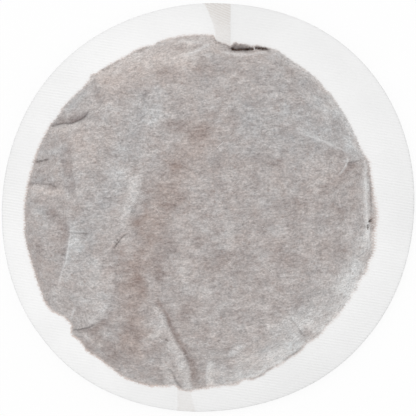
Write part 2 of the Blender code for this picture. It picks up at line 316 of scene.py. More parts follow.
PILLOW_FOLDS = from_rows(
    Fold,
    ("left_upper_tuck", (-0.9, -1, 2.6), (-0.4, 0.6, 2.4), (0.6, 0.3),
     (45, 126.5), (54, 125.2), (64, 124.4), (74, 123.6), (81, 121.8), (86, 118.8), (91, 114.5),
     (95, 110.5)),
    ("left_upper_flap", (0.4, 0.3, 3.0), (0.4, 0.3, 3.0), (0, 1),
     (56, 129), (72, 127), (90, 124), (103, 117)),
    ("left_middle_tuck", (-0.2, 0.2, 1.6), (-0.5, -0.4, 1.5), (0.65, 0.26),
     (25, 162), (34, 161.5), (42, 161), (52, 159.5)),
    ("left_middle_patch", (0.3, 1.2, 1.8), (-0.1, -0.4, 1.6), (0.05, 0.3),
     (51, 158), (59, 154), (68, 148.5)),
    ("left_lower_tuck", (-0.1, 0.0, 2.0), (-0.3, -0.5, 1.6), (0.3, 0.3),
     (24, 183), (36, 183.5), (48, 184), (62, 187)),
    ("left_low_ridge", (0.3, 0.2, 2.6), (0.3, 0.2, 2.6), (0, 1),
     (27, 191), (50, 191), (76, 201)),
    ("left_step", (0.3, 0.4, 3), (-0.2, -0.6, 3.5), (0.06, 0.5),
     (72, 150), (75, 165), (77.5, 182), (78, 201)),
    ("upper_left_streak", (0.4, 0.4, 2.5), (-0.2, -0.7, 2.6), (0.04, 0.6),
     (91, 78), (97, 86), (101, 96), (101, 105)),
    ("top_ridge", (0.5, 0.6, 1.5), (0.4, 0.4, 1.5), (-0.3, 0.5),
     (178, 60), (188, 57), (199, 51.5), (207, 47), (214, 42.5)),
    ("top_hollow", (-0.45, -0.9, 1.5), (-0.4, -0.7, 1.3), (0.1, 0.6),
     (172, 52), (184, 50), (198, 48), (208, 45)),
    ("top_second_ridge", (0.3, 0.7, 1.1), (0.3, 0.7, 1.1), (-0.15, 0.5),
     (176, 41), (188, 42.5), (204, 45.5)),
    ("top_step", (0, 0.0, 0.6), (0.3, 0.1, 1.0), (0.5, 0.28),
     (213, 38), (217, 41.8), (222, 44.2), (228, 46.6), (234, 49)),
    # The pocket: a trough at the seal with coffee grains in it, darkened with painted shade
    ("pocket", (-1.6, -0.8, 1.4), (-2, -0.6, 1.6), (0.85, 0.8),
     (228, 48.4), (233, 49.5), (240, 49.8), (247, 49.4), (257, 48.3)),
    # Painted shadow of the pocket on the flange above it
    ("pocket_shadow", (0, -0.8, 1.4), (0, 0, 0.5), (0.42, 0.75),
     (230, 47), (236, 45.3), (243, 45.2), (252, 46.2)),
    ("pocket_end", (-1.2, -0.3, 1.2), (-1.2, -0.4, 1.3), (0.9, 0.55),
     (253, 47.7), (258, 48.2), (264, 48.8), (271, 50.6)),
    ("pocket_lip", (0.2, 0.3, 0.8), (0.2, 0.3, 0.8), (-0.3, 0.4),
     (236, 43.5), (243, 44), (250, 45)),
    ("pocket_ridge", (0.5, 0.8, 1.3), (0.4, 0.5, 1.4), (-0.3, 0.45),
     (216, 51.5), (229, 55), (243, 56.5), (257, 55), (271, 51.5)),
    ("right_ridge", (0.6, 0, 3.6), (0.6, 0, 2.0), (0, 1),
     (287, 128), (309, 141), (326, 150), (349, 158)),
    ("right_line", (0.15, 0.6, 2.2), (-0.2, -0.5, 2.4), (-0.34, 0.22),
     (286, 132.5), (305, 137), (322, 143), (335, 149), (347, 154), (357, 155)),
    ("right_arc", (-0.2, -0.4, 2.5), (0.2, 0.3, 2.0), (-0.5, 0.28),
     (347, 156), (345, 165), (340, 172), (335, 177)),
    ("right_corner", (0.3, 0.6, 1), (-0.6, -0.8, 2.8), (0.22, 0.3),
     (343, 164), (353, 162), (362, 159)),
    ("right_edge_ridge", (0.4, 0.5, 1.2), (0.4, 0.7, 2), (-0.26, 0.34),
     (366.3, 160), (365.3, 175), (365.2, 195), (366.2, 215), (367, 235), (364, 252)),
    ("right_edge_gutter", (-0.5, -0.3, 0.9), (-0.2, -0.2, 0.9), (0.28, 0.26),
     (369, 160), (369.3, 175), (370.8, 192), (370.8, 208), (368.8, 219)),
    ("right_edge_hole", (-0.8, 0, 0.6), (-0.8, 0, 0.6), (1.0, 0.25),
     (367, 222), (370, 221), (372, 220)),
    ("right_lower_hole", (-0.6, 0, 0.5), (-0.6, 0, 0.5), (0.9, 0.28),
     (367, 224), (366, 226), (367, 228)),
    ("right_lower_line", (0.2, 0, 0.8), (0.2, 0, 0.8), (-0.4, 0.3),
     (369, 228), (368, 240), (368, 252)),
    ("lower_right_tuck", (0.15, 0.7, 3.6), (-0.3, -0.4, 1.8), (0.16, 0.28),
     (287, 312), (293, 321), (300, 330), (304, 335)),
    ("lower_right_rim", (0, -0.2, 0.7), (0, -0.2, 0.7), (0.46, 0.42),
     (303, 346.8), (296, 352), (289, 357.2), (282, 361.5)),
    ("lower_right_dab", (0, -0.2, 0.7), (0, -0.2, 0.7), (0.42, 0.36),
     (276, 365), (269, 370), (262, 374.5), (254, 378.5), (246, 381)),
    ("lower_right_speck", (0, -0.2, 0.7), (0, -0.2, 0.7), (0.3, 0.32),
     (241, 383), (236, 385), (230, 386.5)),
    ("lower_right_end", (0, -0.4, 1.0), (0, -0.4, 1.0), (0.3, 0.5),
     (298, 328), (302, 333), (305, 337)),
    ("upper_left_rim", (0, -0.2, 0.7), (0, -0.2, 0.7), (0.36, 0.36),
     (99, 73), (106, 68.5), (113, 64.5), (121, 60)),
    ("upper_left_edge", (0, -0.2, 0.7), (0, -0.2, 0.7), (0.22, 0.32),
     (129, 55.5), (140, 50), (152, 45)),
    ("bottom_valley", (-0.7, -1.7, 2.8), (-0.4, 1.4, 2.2), (0.06, 0.7),
     (159, 299), (162, 306), (166.8, 314), (171, 325), (176.5, 339), (183.5, 350), (188, 360),
     (190.6, 370), (191.6, 380), (192, 395)),
    ("bottom_middle", (-0.3, -0.4, 2.4), (-0.3, -0.4, 2.4), (0, 1),
     (196, 387), (197, 375), (196, 362), (192, 350)),
    ("bottom_left_ridge", (0.2, 0.9, 2.2), (-0.3, -0.6, 2.5), (0, 1),
     (137, 342), (152, 338), (169, 330)),
    ("bottom_lobe", (0.4, 0.6, 1.3), (0.4, 0.6, 1.3), (0, 1),
     (179, 358), (184, 375), (187, 386)),
    ("bottom_notch", (-0.2, -0.4, 0.6), (-0.2, -0.4, 0.6), (0.36, 0.42),
     (164.5, 370), (168, 367.3), (171.5, 368), (174.3, 373.5), (176, 380), (179, 385.5), (184, 390.5)),
    ("bottom_right_line", (-0.2, 1.5, 3.4), (0.1, -0.6, 1.6), (-0.3, 0.35),
     (210, 357), (207, 365), (206, 374), (206, 388)),
    ("low_ridge", (0.2, 0.5, 1.4), (0.2, 0.5, 1.4), (-0.12, 0.4),
     (246, 341), (238, 346), (227, 356)),
    ("fork_line", (-0.3, -1.0, 1.6), (0.1, 0.3, 1.4), (0.1, 0.4),
     (169, 337), (160, 341), (149, 348)),
    ("fork_dot", (0, 0, 0.3), (0, 0, 0.3), (0.6, 0.25),
     (165.5, 336), (167.5, 337.5), (169.5, 339)),
    ("bottom_right_ridge", (0.3, 0.9, 1.4), (0.3, 0.9, 1.4), (0, 1),
     (217, 357), (232, 351), (243, 340)),
    ("bottom_dash", (-0.2, -0.8, 1.0), (-0.2, -0.8, 1.0), (0, 1),
     (175, 316), (184, 311), (197, 308)),
    ("flap_rim", (0.3, 1.2, 2.6), (-0.4, -0.9, 2.4), (0.07, 0.3),
     (90, 329), (100, 322.5), (107.5, 312.5), (113, 300)),
    ("flap_tuck", (0.3, 0.5, 2.4), (-0.5, -0.5, 2.0), (0.55, 0.26),
     (71, 329.5), (79, 328.8), (88, 327.5), (97, 322)),
    ("flap_kink", (0, 0.2, 1.5), (0.2, 0.3, 1.5), (-0.4, 0.3),
     (78, 306), (74, 312), (71, 320)),
    ("flap_edge", (0.35, 0.9, 3.4), (0, -0.9, 3), (-0.26, 0.3),
     (74.3, 220), (73.3, 230), (71.4, 245), (69.6, 256), (65, 268), (61.2, 278), (58.5, 288)),
    ("flap_line", (0.05, 0.3, 1.2), (-0.1, 0.0, 1.0), (0.42, 0.22),
     (70, 232), (78, 232.3), (86, 233), (94, 233.5)),
    ("centre_step", (-0.15, -0.7, 4), (0.3, 0.8, 6), (0.05, 0.4),
     (144, 174), (142.5, 190), (137, 201), (132, 213), (128, 227)),
    ("centre_crack", (-0.2, -0.6, 2), (0.5, 0.9, 2.2), (0.65, 0.17),
     (115.5, 248), (118.5, 243), (122, 239.5), (125, 236), (130, 231.5)),
    ("upper_mark", (-0.1, -0.3, 1.0), (-0.1, -0.3, 1.0), (0.12, 0.45),
     (141, 103), (147, 98), (149, 94)),
    ("upper_dash", (-0.1, -0.5, 1.0), (-0.1, 0.3, 1.0), (0.15, 0.4),
     (134, 118), (120, 120), (100, 122)),
)

# A pleat of the flange is doubled paper between a left and a right edge, which run out from the
# seal line to past the cut edge. Tone is how much greyer its paper is. The flange has one fold more.
Pleat = namedtuple("Pleat", "left right tone")
TOP_PLEAT = Pleat(*from_rows(
    Fold,
    ("top_pleat_left", (0, 0, 0.4), (0.3, 0, 5.0), (0, 1), (216, 41), (211, 20), (196, -12)),
    ("top_pleat_right", (0.3, 0, 5.0), (0, 0, 0.4), (0, 1), (231, 47), (231, 27), (231, -2)),
), tone=1.0)
BOTTOM_PLEAT = Pleat(*from_rows(
    Fold,
    ("bottom_pleat_left", (0.3, 0, 4.0), (0, 0, 0.4), (0, 1), (177, 388), (177, 405), (174, 435)),
    ("bottom_pleat_right", (0.1, 0, 1.5), (0.15, 0, 2.0), (0, 1), (191, 392), (195, 407), (201, 436)),
), tone=0.75)
PLEATS = (TOP_PLEAT, BOTTOM_PLEAT)
PLEAT_EDGES = tuple(edge for pleat in PLEATS for edge in (pleat.left, pleat.right))
FLANGE_FOLDS = PLEAT_EDGES + from_rows(
    Fold,
    ("right_pleat", (0.1, 0, 2.0), (0, 0, 0.5), (0, 1), (366, 159), (385, 152), (412, 147)),
)

# Spots where grains of coffee show: how many grains, how their pixels are spread across and down, and
# the range of their radii in millimetres. Even has its two ends, gathered its middle and its spread.
GRAIN_SPOTS = {
    "pocket": (52, ("even", 232.0, 253.0), ("gathered", 49.8, 0.6), (0.14, 0.32)),
    "pocket_end": (24, ("even", 255.8, 266.5), ("gathered", 48.8, 0.5), (0.12, 0.25)),
    "right_edge_hole": (7, ("gathered", 369.6, 0.8), ("gathered", 220.6, 0.7), (0.12, 0.22)),
    "right_lower_hole": (5, ("gathered", 366.9, 0.5), ("gathered", 226.4, 0.9), (0.1, 0.2)),
    "centre_crack": (5, ("even", 116.5, 122.5), ("even", 237.0, 245.0), (0.08, 0.16)),
}

# A grain is a ball made lumpy, squashed along two axes and sunk into the paper
GRAIN_LIFT = 0.1
GRAIN_LUMPS = 0.35
GRAIN_LUMP_WAVES = 1.1
GRAIN_SQUASH = ((0.6, 0.9), (0.5, 0.8))

# Bundles of fibres that stand out in the photograph: the pixels of both ends and the radius
FIBRE_BUNDLES = {
    "centre_left": ((161, 219), (169, 219), 0.055 * MM),
    "upper_middle": ((217, 149), (223.5, 143), 0.06 * MM),
    "pocket": ((253.6, 45), (254.3, 50.5), 0.09 * MM),
    "right_hole_upper": ((369.7, 221), (375.3, 219), 0.06 * MM),
    "right_hole_middle": ((370, 224), (376.3, 226), 0.07 * MM),
    "right_hole_lower": ((371, 228), (375, 223), 0.05 * MM),
}
BUNDLE_POINTS = 6

# Stray fibres: distance in from the seal, step and radius in millimetres, number of steps, and in
# radians how far their heading, their bend and each step's heading vary
STRAY_INSET = (1.5, 50.0)
STRAY_STEP = (0.25, 0.6)
STRAY_RADIUS = (0.018, 0.035)
STRAY_STEPS = 8
STRAY_HEADING = 0.5
STRAY_BEND = 0.12
STRAY_WAVER = 0.08

# Where the paper is paler because it stands off the coffee, or darker because it lies on it, and
# where it is warmer or cooler, along a path of the plan. Some are painted light and shade instead:
# the pale tints along the lower right rim offset its shading, and the dark tints beside some folds
# paint their shade. Reach is in millimetres.
Tint = namedtuple("Tint", "name pale warm reach path")
PILLOW_TINTS = from_rows(
    Tint,
    ("upper_left_rim", 1.4, 1.2, 5.5, (97, 76), (128, 60), (165, 47), (213, 43)),
    ("upper_left_glow", 0.7, 0.9, 6.0, (105, 85), (140, 70), (185, 60)),
    ("upper_left_beige", 0.0, 1.4, 8.0, (95, 95), (140, 75), (190, 70)),
    ("top_patch", 1.1, 0.0, 3.0, (162, 61), (190, 58)),
    ("upper_band", -0.6, 0.0, 4.5, (155, 80), (205, 72), (250, 75)),
    ("upper_left_field", 0.5, 0.0, 8.0, (100, 110), (130, 120), (155, 118)),
    ("upper_left_spot", 0.5, -0.3, 3.5, (150, 112), (156, 126)),
    ("streak_dark", -1.7, -0.8, 2.4, (97, 82), (101, 92), (102, 103)),
    ("left_mauve", 0.0, 1.2, 6.0, (70, 120), (80, 145), (95, 160)),
    ("left_field", 0.5, 0.0, 8.0, (95, 150), (122, 160)),
    ("cool_band", 0.1, -1.5, 7.5, (155, 98), (118, 165), (95, 215), (72, 258)),
    ("plateau", 1.3, -0.3, 4, (118, 178), (128, 185)),
    ("plateau_edge", 1.1, -0.3, 3.6, (137, 182), (134, 202), (126, 221)),
    ("middle_left_pale", 0.5, 0.0, 6.0, (103, 200), (108, 238)),
    ("band_warmth", 0.0, 1.8, 7.5, (205, 128), (183, 165), (163, 205), (143, 246), (134, 305), (140, 345)),
    ("valley_warmth", -0.2, 0.6, 1.9, (193, 364), (195, 384)),
    ("band_top", -1.1, 0.2, 3.3, (172, 126), (188, 127), (202, 131)),
    ("band_upper", -0.7, 0.3, 8.0, (200, 138), (180, 165)),
    ("band_spot", -1, 0, 2.6, (163, 159), (177, 169)),
    ("band_head", -1.5, 0.2, 4.4, (155, 193), (178, 196)),
    ("band_head_spot", -1.1, 0, 2.6, (168, 208), (176, 208)),
    ("band_left", -1.6, 0.4, 3.4, (147, 210), (139, 222)),
    ("band_middle", -1.0, 0.3, 7.0, (156, 226), (145, 246)),
    ("band_right", -1.6, 0.0, 3.8, (170, 245), (157, 263), (160, 278)),
    ("band_low", -1.7, 0.3, 3.5, (137, 262), (143, 292)),
    ("band_lower", -1.1, 0.3, 6.0, (130, 268), (132, 300), (137, 335)),
    ("band_foot", -1.2, -1.2, 3.2, (132, 326), (142, 338)),
    ("band_start", -1.1, 0.0, 2.5, (117, 246), (123, 254)),
    ("lower_left_dark", -1.1, 0.3, 5.5, (92, 340), (120, 358)),
    ("bottom_left_field", -0.6, 0.2, 7.0, (125, 350), (155, 366)),
    ("flap_pale", 0.8, -0.2, 5.5, (92, 268), (104, 300)),
    ("flap_spot", 0.5, 0.0, 2.6, (94, 262), (98, 268)),
    ("flap_edge_pale", 0.6, -0.5, 2.4, (76, 226), (74, 244), (69, 258)),
    ("flap_foot_pale", 0.9, 0, 3, (60, 272), (60, 290), (58, 303)),
    # Painted shade below the flap's rim
    ("flap_rim_dark", -0.9, 0, 1.8, (86, 331), (104, 325), (113, 317)),
    ("left_low_dark", -0.6, 0, 4.5, (36, 245), (48, 285)),
    ("left_middle_dark", -1.5, 0, 2.8, (55, 213), (67, 223), (68, 228)),
    ("left_low_field", -0.3, 0, 5, (45, 225), (62, 245)),
    ("left_pink", 1.8, 1.5, 2.2, (34, 189), (64, 193)),
    ("left_upper_dark", -1.2, -0.6, 3.1, (68, 152), (71, 170), (73, 188)),
    ("left_edge_field", -0.1, 0, 5, (40, 150), (38, 215)),
    ("upper_right_cool", 0.0, -1.8, 12.0, (256, 120), (290, 130), (340, 134)),
    ("upper_right_pale", 1.0, -0.3, 3.6, (315, 98), (342, 122)),
    ("right_top_pale", 2.2, -0.6, 2.6, (346, 140), (359, 155)),
    ("upper_middle_pale", 0.8, -0.2, 3, (240, 132), (258, 140)),
    ("upper_right_spot", -0.7, 0.0, 2.4, (284, 130), (294, 138)),
    ("right_spot", -0.7, 0.0, 2.6, (313, 148), (326, 156)),
    ("middle_spot", -0.7, 0.0, 2.6, (266, 160), (276, 164)),
    # Painted shade below the step of the right corner
    ("right_corner_dark", -1.1, 0.3, 3.0, (350, 167), (322, 190)),
    ("right_dark", -0.8, 0.0, 3.2, (275, 202), (310, 206), (342, 208)),
    ("right_lower_dark", -1.2, 0, 2.6, (302, 219), (336, 222)),
    ("middle_dark", -0.8, 0.0, 2.4, (250, 229), (270, 224)),
    ("centre_dark", -0.8, 0.0, 2.4, (220, 254), (242, 253)),
    ("centre_pale", 0.9, -0.2, 2.8, (228, 222), (229, 242)),
    ("centre_low_dark", -1.0, 0.0, 3.2, (270, 247), (303, 264)),
    ("right_low_dark", -0.6, 0.0, 3.2, (325, 245), (350, 250)),
    ("low_right_dark", -0.8, 0.0, 2.8, (292, 303), (312, 295)),
    ("low_field", -0.4, 0.0, 7.0, (225, 272), (290, 290)),
    ("low_dark", -0.7, 0.0, 3.2, (225, 331), (242, 322)),
    ("valley_right", -0.6, 0.0, 4.5, (185, 312), (206, 342)),
    ("low_pale", 1.2, 0.0, 3.4, (184, 262), (184, 290), (206, 290)),
    ("low_middle_pale", 0.5, 0.0, 3.0, (225, 298), (235, 304)),
    # These five: painted light on the right and lower rim against its shading, partly paper standing off the
    # coffee
    ("rim_right", 1.4, -0.3, 2.0, (366, 180), (370, 215), (364, 250)),
    ("rim_low_right", 2.6, -0.4, 5, (354, 268), (340, 296), (314, 320), (292, 340)),
    ("rim_bottom", 2.8, -0.4, 4.6, (288, 350), (264, 374)),
    ("rim_bottom_left", 1.6, -0.2, 3.6, (252, 376), (212, 373)),
    ("bottom_right_glow", 1.2, -0.4, 5.5, (330, 278), (300, 318), (262, 345)),
    ("rim_notch_dark", -1.4, 0.3, 1.8, (303, 328), (312, 336)),
    ("ridge_pale", 1.7, 0.2, 2.8, (171, 343), (177, 352), (182, 363), (185, 374), (186, 384)),
    ("ridge_foot_pale", 2.2, 0, 2.8, (166, 358), (168, 372), (170, 386)),
    ("fork_pale", 1.3, 0, 2, (159, 308), (164, 323)),
    ("fork_foot_pale", 1.6, 0.3, 1.7, (158, 333), (143, 342)),
    ("flap_cool", 0.4, -2.1, 5, (57, 116), (72, 106), (92, 88)),
    ("strip_pale", 1.7, -0.2, 1.6, (364.6, 166), (364.4, 198), (365.4, 215), (366, 232)),
    ("outer_strip", 1.6, 1.4, 1.1, (372, 192), (374.5, 208), (373.5, 232), (372, 250)),
    ("leaf_pale", 1.3, 0.0, 2.2, (212, 362), (210, 382)),
    # Painted light on the lower right rim, partly paper standing off the coffee
    ("low_right_pale", 2.1, -0.4, 4.6, (361, 238), (358, 256), (352, 270), (343, 286)),
    ("upper_right_edge", 0.3, -1.0, 5.0, (262, 76), (296, 86), (330, 112)),
    ("tuck_shadow", -2.1, -2.4, 1.8, (72, 121), (81, 119), (87, 116)),
    # Painted light on the lower rim, partly paper standing off the coffee
    ("low_right_glow", 2.6, 0.4, 4.2, (238, 364), (254, 359), (278, 352)),
    ("bottom_right_light", 1.3, 0.1, 3.0, (270, 322), (290, 318), (318, 328)),
    ("left_cool_upper", 0.2, -1.3, 3.2, (38, 152), (62, 154)),
    ("left_cool_lower", -0.1, -1.2, 3.2, (34, 202), (50, 214)),
    ("flap_foot_light", 2.4, 0.2, 2.4, (86, 336), (98, 343)),
    ("top_middle_dark", -0.9, 0.0, 2.8, (216, 116), (232, 115)),
    ("centre_left_dark", -0.7, 0.2, 2.8, (168, 214), (172, 224)),
    ("centre_upper_dark", -0.8, 0.0, 3.0, (262, 165), (280, 163)),
    ("centre_middle_dark", -0.7, 0.0, 2.8, (216, 172), (228, 204)),
    ("centre_lower_dark", -0.7, 0.0, 2.8, (216, 248), (230, 262)),
    ("pocket_pink", 0.3, 1.4, 2.6, (216, 51), (236, 56), (262, 53)),
    ("upper_left_light", 1.2, 0.0, 3.0, (138, 56), (152, 54), (148, 78)),
    ("left_field_dark", -0.7, 0.0, 3.0, (88, 120), (96, 122)),
    ("middle_left_dark", -0.7, 0.0, 2.8, (92, 198), (98, 204)),
    ("low_band_dark", -0.8, 0.0, 3.0, (150, 298), (152, 310)),
    ("flap_low_pale", 1.0, -0.5, 3.8, (84, 300), (102, 300), (90, 318)),
    ("flap_upper_pale", 0.8, -0.2, 2.4, (80, 234), (84, 250)),
    ("middle_cool", 0.0, -0.9, 4.5, (234, 152), (262, 152), (290, 166)),
    ("left_lower_cool", 0.0, -1.3, 2.0, (36, 179), (54, 180)),
    ("crack_warmth", 0.0, 1.0, 2.6, (131, 214), (126, 236)),
    ("hole_brown", -2.4, 1.4, 1.2, (371, 220), (373, 229)),
    # Painted shade along the head of the bottom valley
    ("valley_head", -1.6, 0.2, 1.3, (160, 301), (163, 307), (167, 314), (170, 322)),
    ("right_field_pale", 1, -0.2, 2.6, (280, 149), (288, 153)),
    ("right_low_dab", -1.3, 0, 1.2, (326, 270.5), (335, 272)),
    ("crack_side_pale", 1, 0, 2.4, (112, 233), (117, 240)),
    ("low_field_pale", 0.9, 0, 2.5, (292, 240), (298, 247)),
    ("band_side_pale", 0.9, 0, 2.5, (146, 156), (154, 161)),
    ("upper_field_pale", 0.9, 0, 2.5, (270, 62), (282, 66)),
    ("step_pale", 1, 0, 2.4, (137, 192), (140, 198)),
    # Painted shade beside the bottom valley
    ("valley_band", -0.8, 0.1, 1.4, (168, 315), (173, 326), (178.5, 338), (186, 350)),
    ("notch_dark", -1.3, 0.2, 0.9, (180, 380), (182.5, 386)),
    ("step_side_pale", 0.9, 0, 1.8, (144, 184), (149, 190)),
    ("tuck_end_shade", -1.4, -0.2, 2, (80, 121), (90, 120), (100, 121)),
    ("left_low_spot", 1.1, 0, 2.3, (40, 214), (45, 222)),
    ("right_low_spot", 1.1, 0, 2.3, (336, 226), (346, 229)),
    ("crack_side_dark", -0.7, 0, 1.8, (122, 243), (127, 247)),
    ("band_side_spot", 1.1, 0, 2.2, (156, 155), (164, 159)),
    ("corner_foot_pale", 1.1, -0.2, 1.8, (350, 161), (357, 162)),
    ("left_ridge_pale", 1.1, 0, 2.2, (53, 196), (62, 198)),
    ("low_ridge_dark", -1.1, 0, 2.2, (226, 344), (233, 340)),
    ("band_low_spot", 1.1, -0.4, 2.2, (132, 252), (135, 260)),
    ("centre_low_spot", -1.1, 0, 2.4, (279, 264), (288, 267)),
    ("centre_spot", 1, 0, 2.4, (226, 181), (226, 191)),
    ("low_leaf_spot", 1.1, 0, 2.2, (214, 361), (222, 363)),
    ("centre_left_spot", 1, 0, 2.2, (200, 223), (206, 228)),
    ("valley_side_pale", 1, 0, 2.2, (193, 325), (201, 328)),
    ("right_field_dark", -1, 0, 2.4, (330, 184), (314, 207)),
    ("right_field_spot", 1, 0, 2.2, (320, 224), (326, 224)),
    ("upper_band_dark", -1, 0, 2.4, (219, 96), (228, 97)),
    ("left_upper_tuck_pale", 0.9, 0.4, 2.0, (52, 130), (80, 127)),
)


def colour_of(red, green, blue):
    """Linear colour of a screen colour given in 0 to 255, by the standard curve of screens."""
    shares = [channel / 255.0 for channel in (red, green, blue)]
    return [s / 12.92 if s <= 0.04045 else ((s + 0.055) / 1.055) ** 2.4 for s in shares] + [1.0]


def length(name, description, default):
    return FloatProperty(name=name, description=description, default=default, unit="LENGTH", precision=5)


def share(name, description, default, low=0.0, high=2.0):
    return FloatProperty(name=name, description=description, default=default, min=low, max=high)


def colour(name, description, default):
    limits = {"size": 4, "min": 0.0, "max": 1.0}
    return FloatVectorProperty(name=name, description=description, default=default, subtype="COLOR", **limits)


class PouchForm(PropertyGroup):
    """Sizes of the pack that a user would change."""
    pouch_radius: length("Pouch radius", "Mean radius of the line where the seal begins", 53.1 * MM)
    flange_width: length("Flange width", "Mean width of the pressed flange", MEAN_RADIUS - 53.1 * MM)
    flange_thickness: length("Flange thickness", "Two sheets, pressed together", 0.5 * MM)
    seal_height: length("Seal height", "Height of the flange where it meets the pillow", 4.2 * MM)
    crown_rise: length("Crown rise", "Rise of the pillow above the flange", 8.7 * MM)
    crown_shoulder: length("Crown shoulder", "Distance in over which the pillow rises", 30.0 * MM)
    basin_curve: length("Basin curve", "Distance in from the seal to the flat bottom", 11.0 * MM)
    lump_rise: length("Lump rise", "How far the coffee's lumps stand up", 0.9 * MM)
    gather_rise: length("Gather rise", "How far the gathers along the seal stand up", 0.3 * MM)
    rib_depth: length("Rib depth", "Depth of the flange's embossing", 0.07 * MM)
    grain_rise: length("Grain rise", "How far single grains press through the paper", 0.07 * MM)
    spare_paper: share("Spare paper", "How much wider each sheet is than its space", 0.015, 0.0, 0.1)
    paper_bending: share("Paper bending", "Bending stiffness of the simulated sheets", 6.0, 0.0, 100.0)
    crumple_rise: length("Crumple rise", "Depth of the fine crumples", 0.16 * MM)
    fine_step: length("Fine step", "Spacing of the mesh on the upper side", 0.5 * MM)
    coarse_step: length("Coarse step", "Spacing of the mesh on the lower side", 0.9 * MM)


class PaperLook(PropertyGroup):
    """Colours and roughness of the paper and the coffee."""
    dark_warm: colour("Dark warm", "Paper lying on coffee, warm", colour_of(144, 126, 119))
    dark_cool: colour("Dark cool", "Paper lying on coffee, cool", colour_of(137, 130, 130))
    pale_warm: colour("Pale warm", "Paper standing off the coffee, warm", colour_of(220, 211, 206))
    pale_cool: colour("Pale cool", "Paper standing off the coffee, cool", colour_of(211, 216, 218))
    pressed: colour("Pressed paper", "The white flange", colour_of(244, 244, 244))
    doubled: colour("Doubled paper", "Greyer paper of the pleats", colour_of(216, 210, 205))
    stain: colour("Seal stain", "Coffee dust pressed into the seal's inner edge", colour_of(213, 196, 188))
    # Also the colour of the painted shade in the fold lines and of the pocket's shadow on the flange
    coffee: colour("Coffee", "Ground coffee in a deep fold", colour_of(66, 54, 51))
    paper_roughness: share("Paper roughness", "Roughness of the paper", 0.92, 0.0, 1.0)


class StudioLight(PropertyGroup):
    """Camera and light."""
    sky: share("Sky", "Strength of the even light from all round", 0.74)
    lamp: FloatProperty(
        name="Lamp", description="Strength of the broad lamp", default=2.57, min=0.0, unit="POWER")
    focal_length: FloatProperty(
        name="Focal length", description="Lens of the camera, in millimetres", default=120.0)
    view_width: length("View width", "Width of the picture at the flange", PHOTO_WIDTH)
    floor_glow: share("Floor glow", "Share of plain white that the camera sees in the floor", 0.9, 0.0, 1.0)


def smooth(part):
    """Eases a share from 0 to 1."""
    part = np.clip(part, 0.0, 1.0)
    return part * part * (3.0 - 2.0 * part)


def from_knots(knots, bearing):
    """Value at each bearing of a closed list of bearings and values, eased from one to the next."""
    knots = np.array(knots if knots[-1][0] >= 360.0 else knots + ((knots[0][0] + 360.0, knots[0][1]),))
    step = np.clip(np.searchsorted(knots[:, 0], bearing, side="right") - 1, 0, len(knots) - 2)
    part = smooth((bearing - knots[step, 0]) / (knots[step + 1, 0] - knots[step, 0]))
    return knots[step, 1] + (knots[step + 1, 1] - knots[step, 1]) * part


def fractal(points, wide, long, seed, octaves=3):
    """Smooth noise of about -1 to 1 at points of the plan, with waves of the given sizes."""
    places = [Vector((x / wide, y / long, seed)) for x, y in points]
    return np.array([noise.fractal(place, OCTAVE_FADE, OCTAVE_SHRINK, octaves) for place in places])


def round_noise(bearing, waves, seed):
    """Smooth noise by bearing that meets itself after a full turn, with about three times as many waves."""
    angle = np.radians(bearing)
    rounds = zip(waves * np.cos(angle), waves * np.sin(angle))
    return np.array([noise.noise(Vector((x, y, seed))) for x, y in rounds])


def bearings_round(count):
    """Evenly spaced bearings of a full turn, in degrees."""
    return np.arange(count) * 360.0 / count


def rounded(path):
    """A path with its corners cut, so that it bends as paper does."""
    for _ in range(CORNER_CUTS):
        before, after = path[:-1], path[1:]
        cut = np.stack([before * 0.75 + after * 0.25, before * 0.25 + after * 0.75], axis=1)
        path = np.concatenate([path[:1], cut.reshape(-1, 2), path[-1:]])
    return path


def wandering(path):
    """A path with rounded corners that wanders a little, as a crease in paper does."""
    path = rounded(path)
    run = np.concatenate([[0.0], np.cumsum(np.hypot(*np.diff(path, axis=0).T))])
    places = np.linspace(0.0, run[-1], max(int(run[-1] / PATH_STEP), 4))
    path = np.column_stack([np.interp(places, run, path[:, 0]), np.interp(places, run, path[:, 1])])
    reach = PATH_WANDER_LENGTH
    wander = [[noise.noise(Vector((x / reach, y / reach, seed))) for seed in WANDER_SEEDS] for x, y in path]
    return path + PATH_WANDER * np.array(wander)


def along_path(points, path):
    """Distance of each point from a path, the side it is on, and how far along it is from 0 to 1."""
    distance = np.full(len(points), np.inf)
    side = np.zeros(len(points))
    along = np.zeros(len(points))
    for step, (start, end) in enumerate(zip(path[:-1], path[1:])):
        run = end - start
        part = np.clip((points - start) @ run / max(run @ run, 1e-12), 0.0, 1.0)
        away = points - start - part[:, None] * run
        reach = np.hypot(away[:, 0], away[:, 1])
        nearer = reach < distance
        distance = np.where(nearer, reach, distance)
        side = np.where(nearer, run[0] * away[:, 1] - run[1] * away[:, 0], side)
        along = np.where(nearer, (step + part) / (len(path) - 1), along)
    return distance, side, along


def near_path(points, path, reach):
    """Which points lie in the box round a path, widened by a reach."""
    return np.all((points > path.min(axis=0) - reach) & (points < path.max(axis=0) + reach), axis=1)


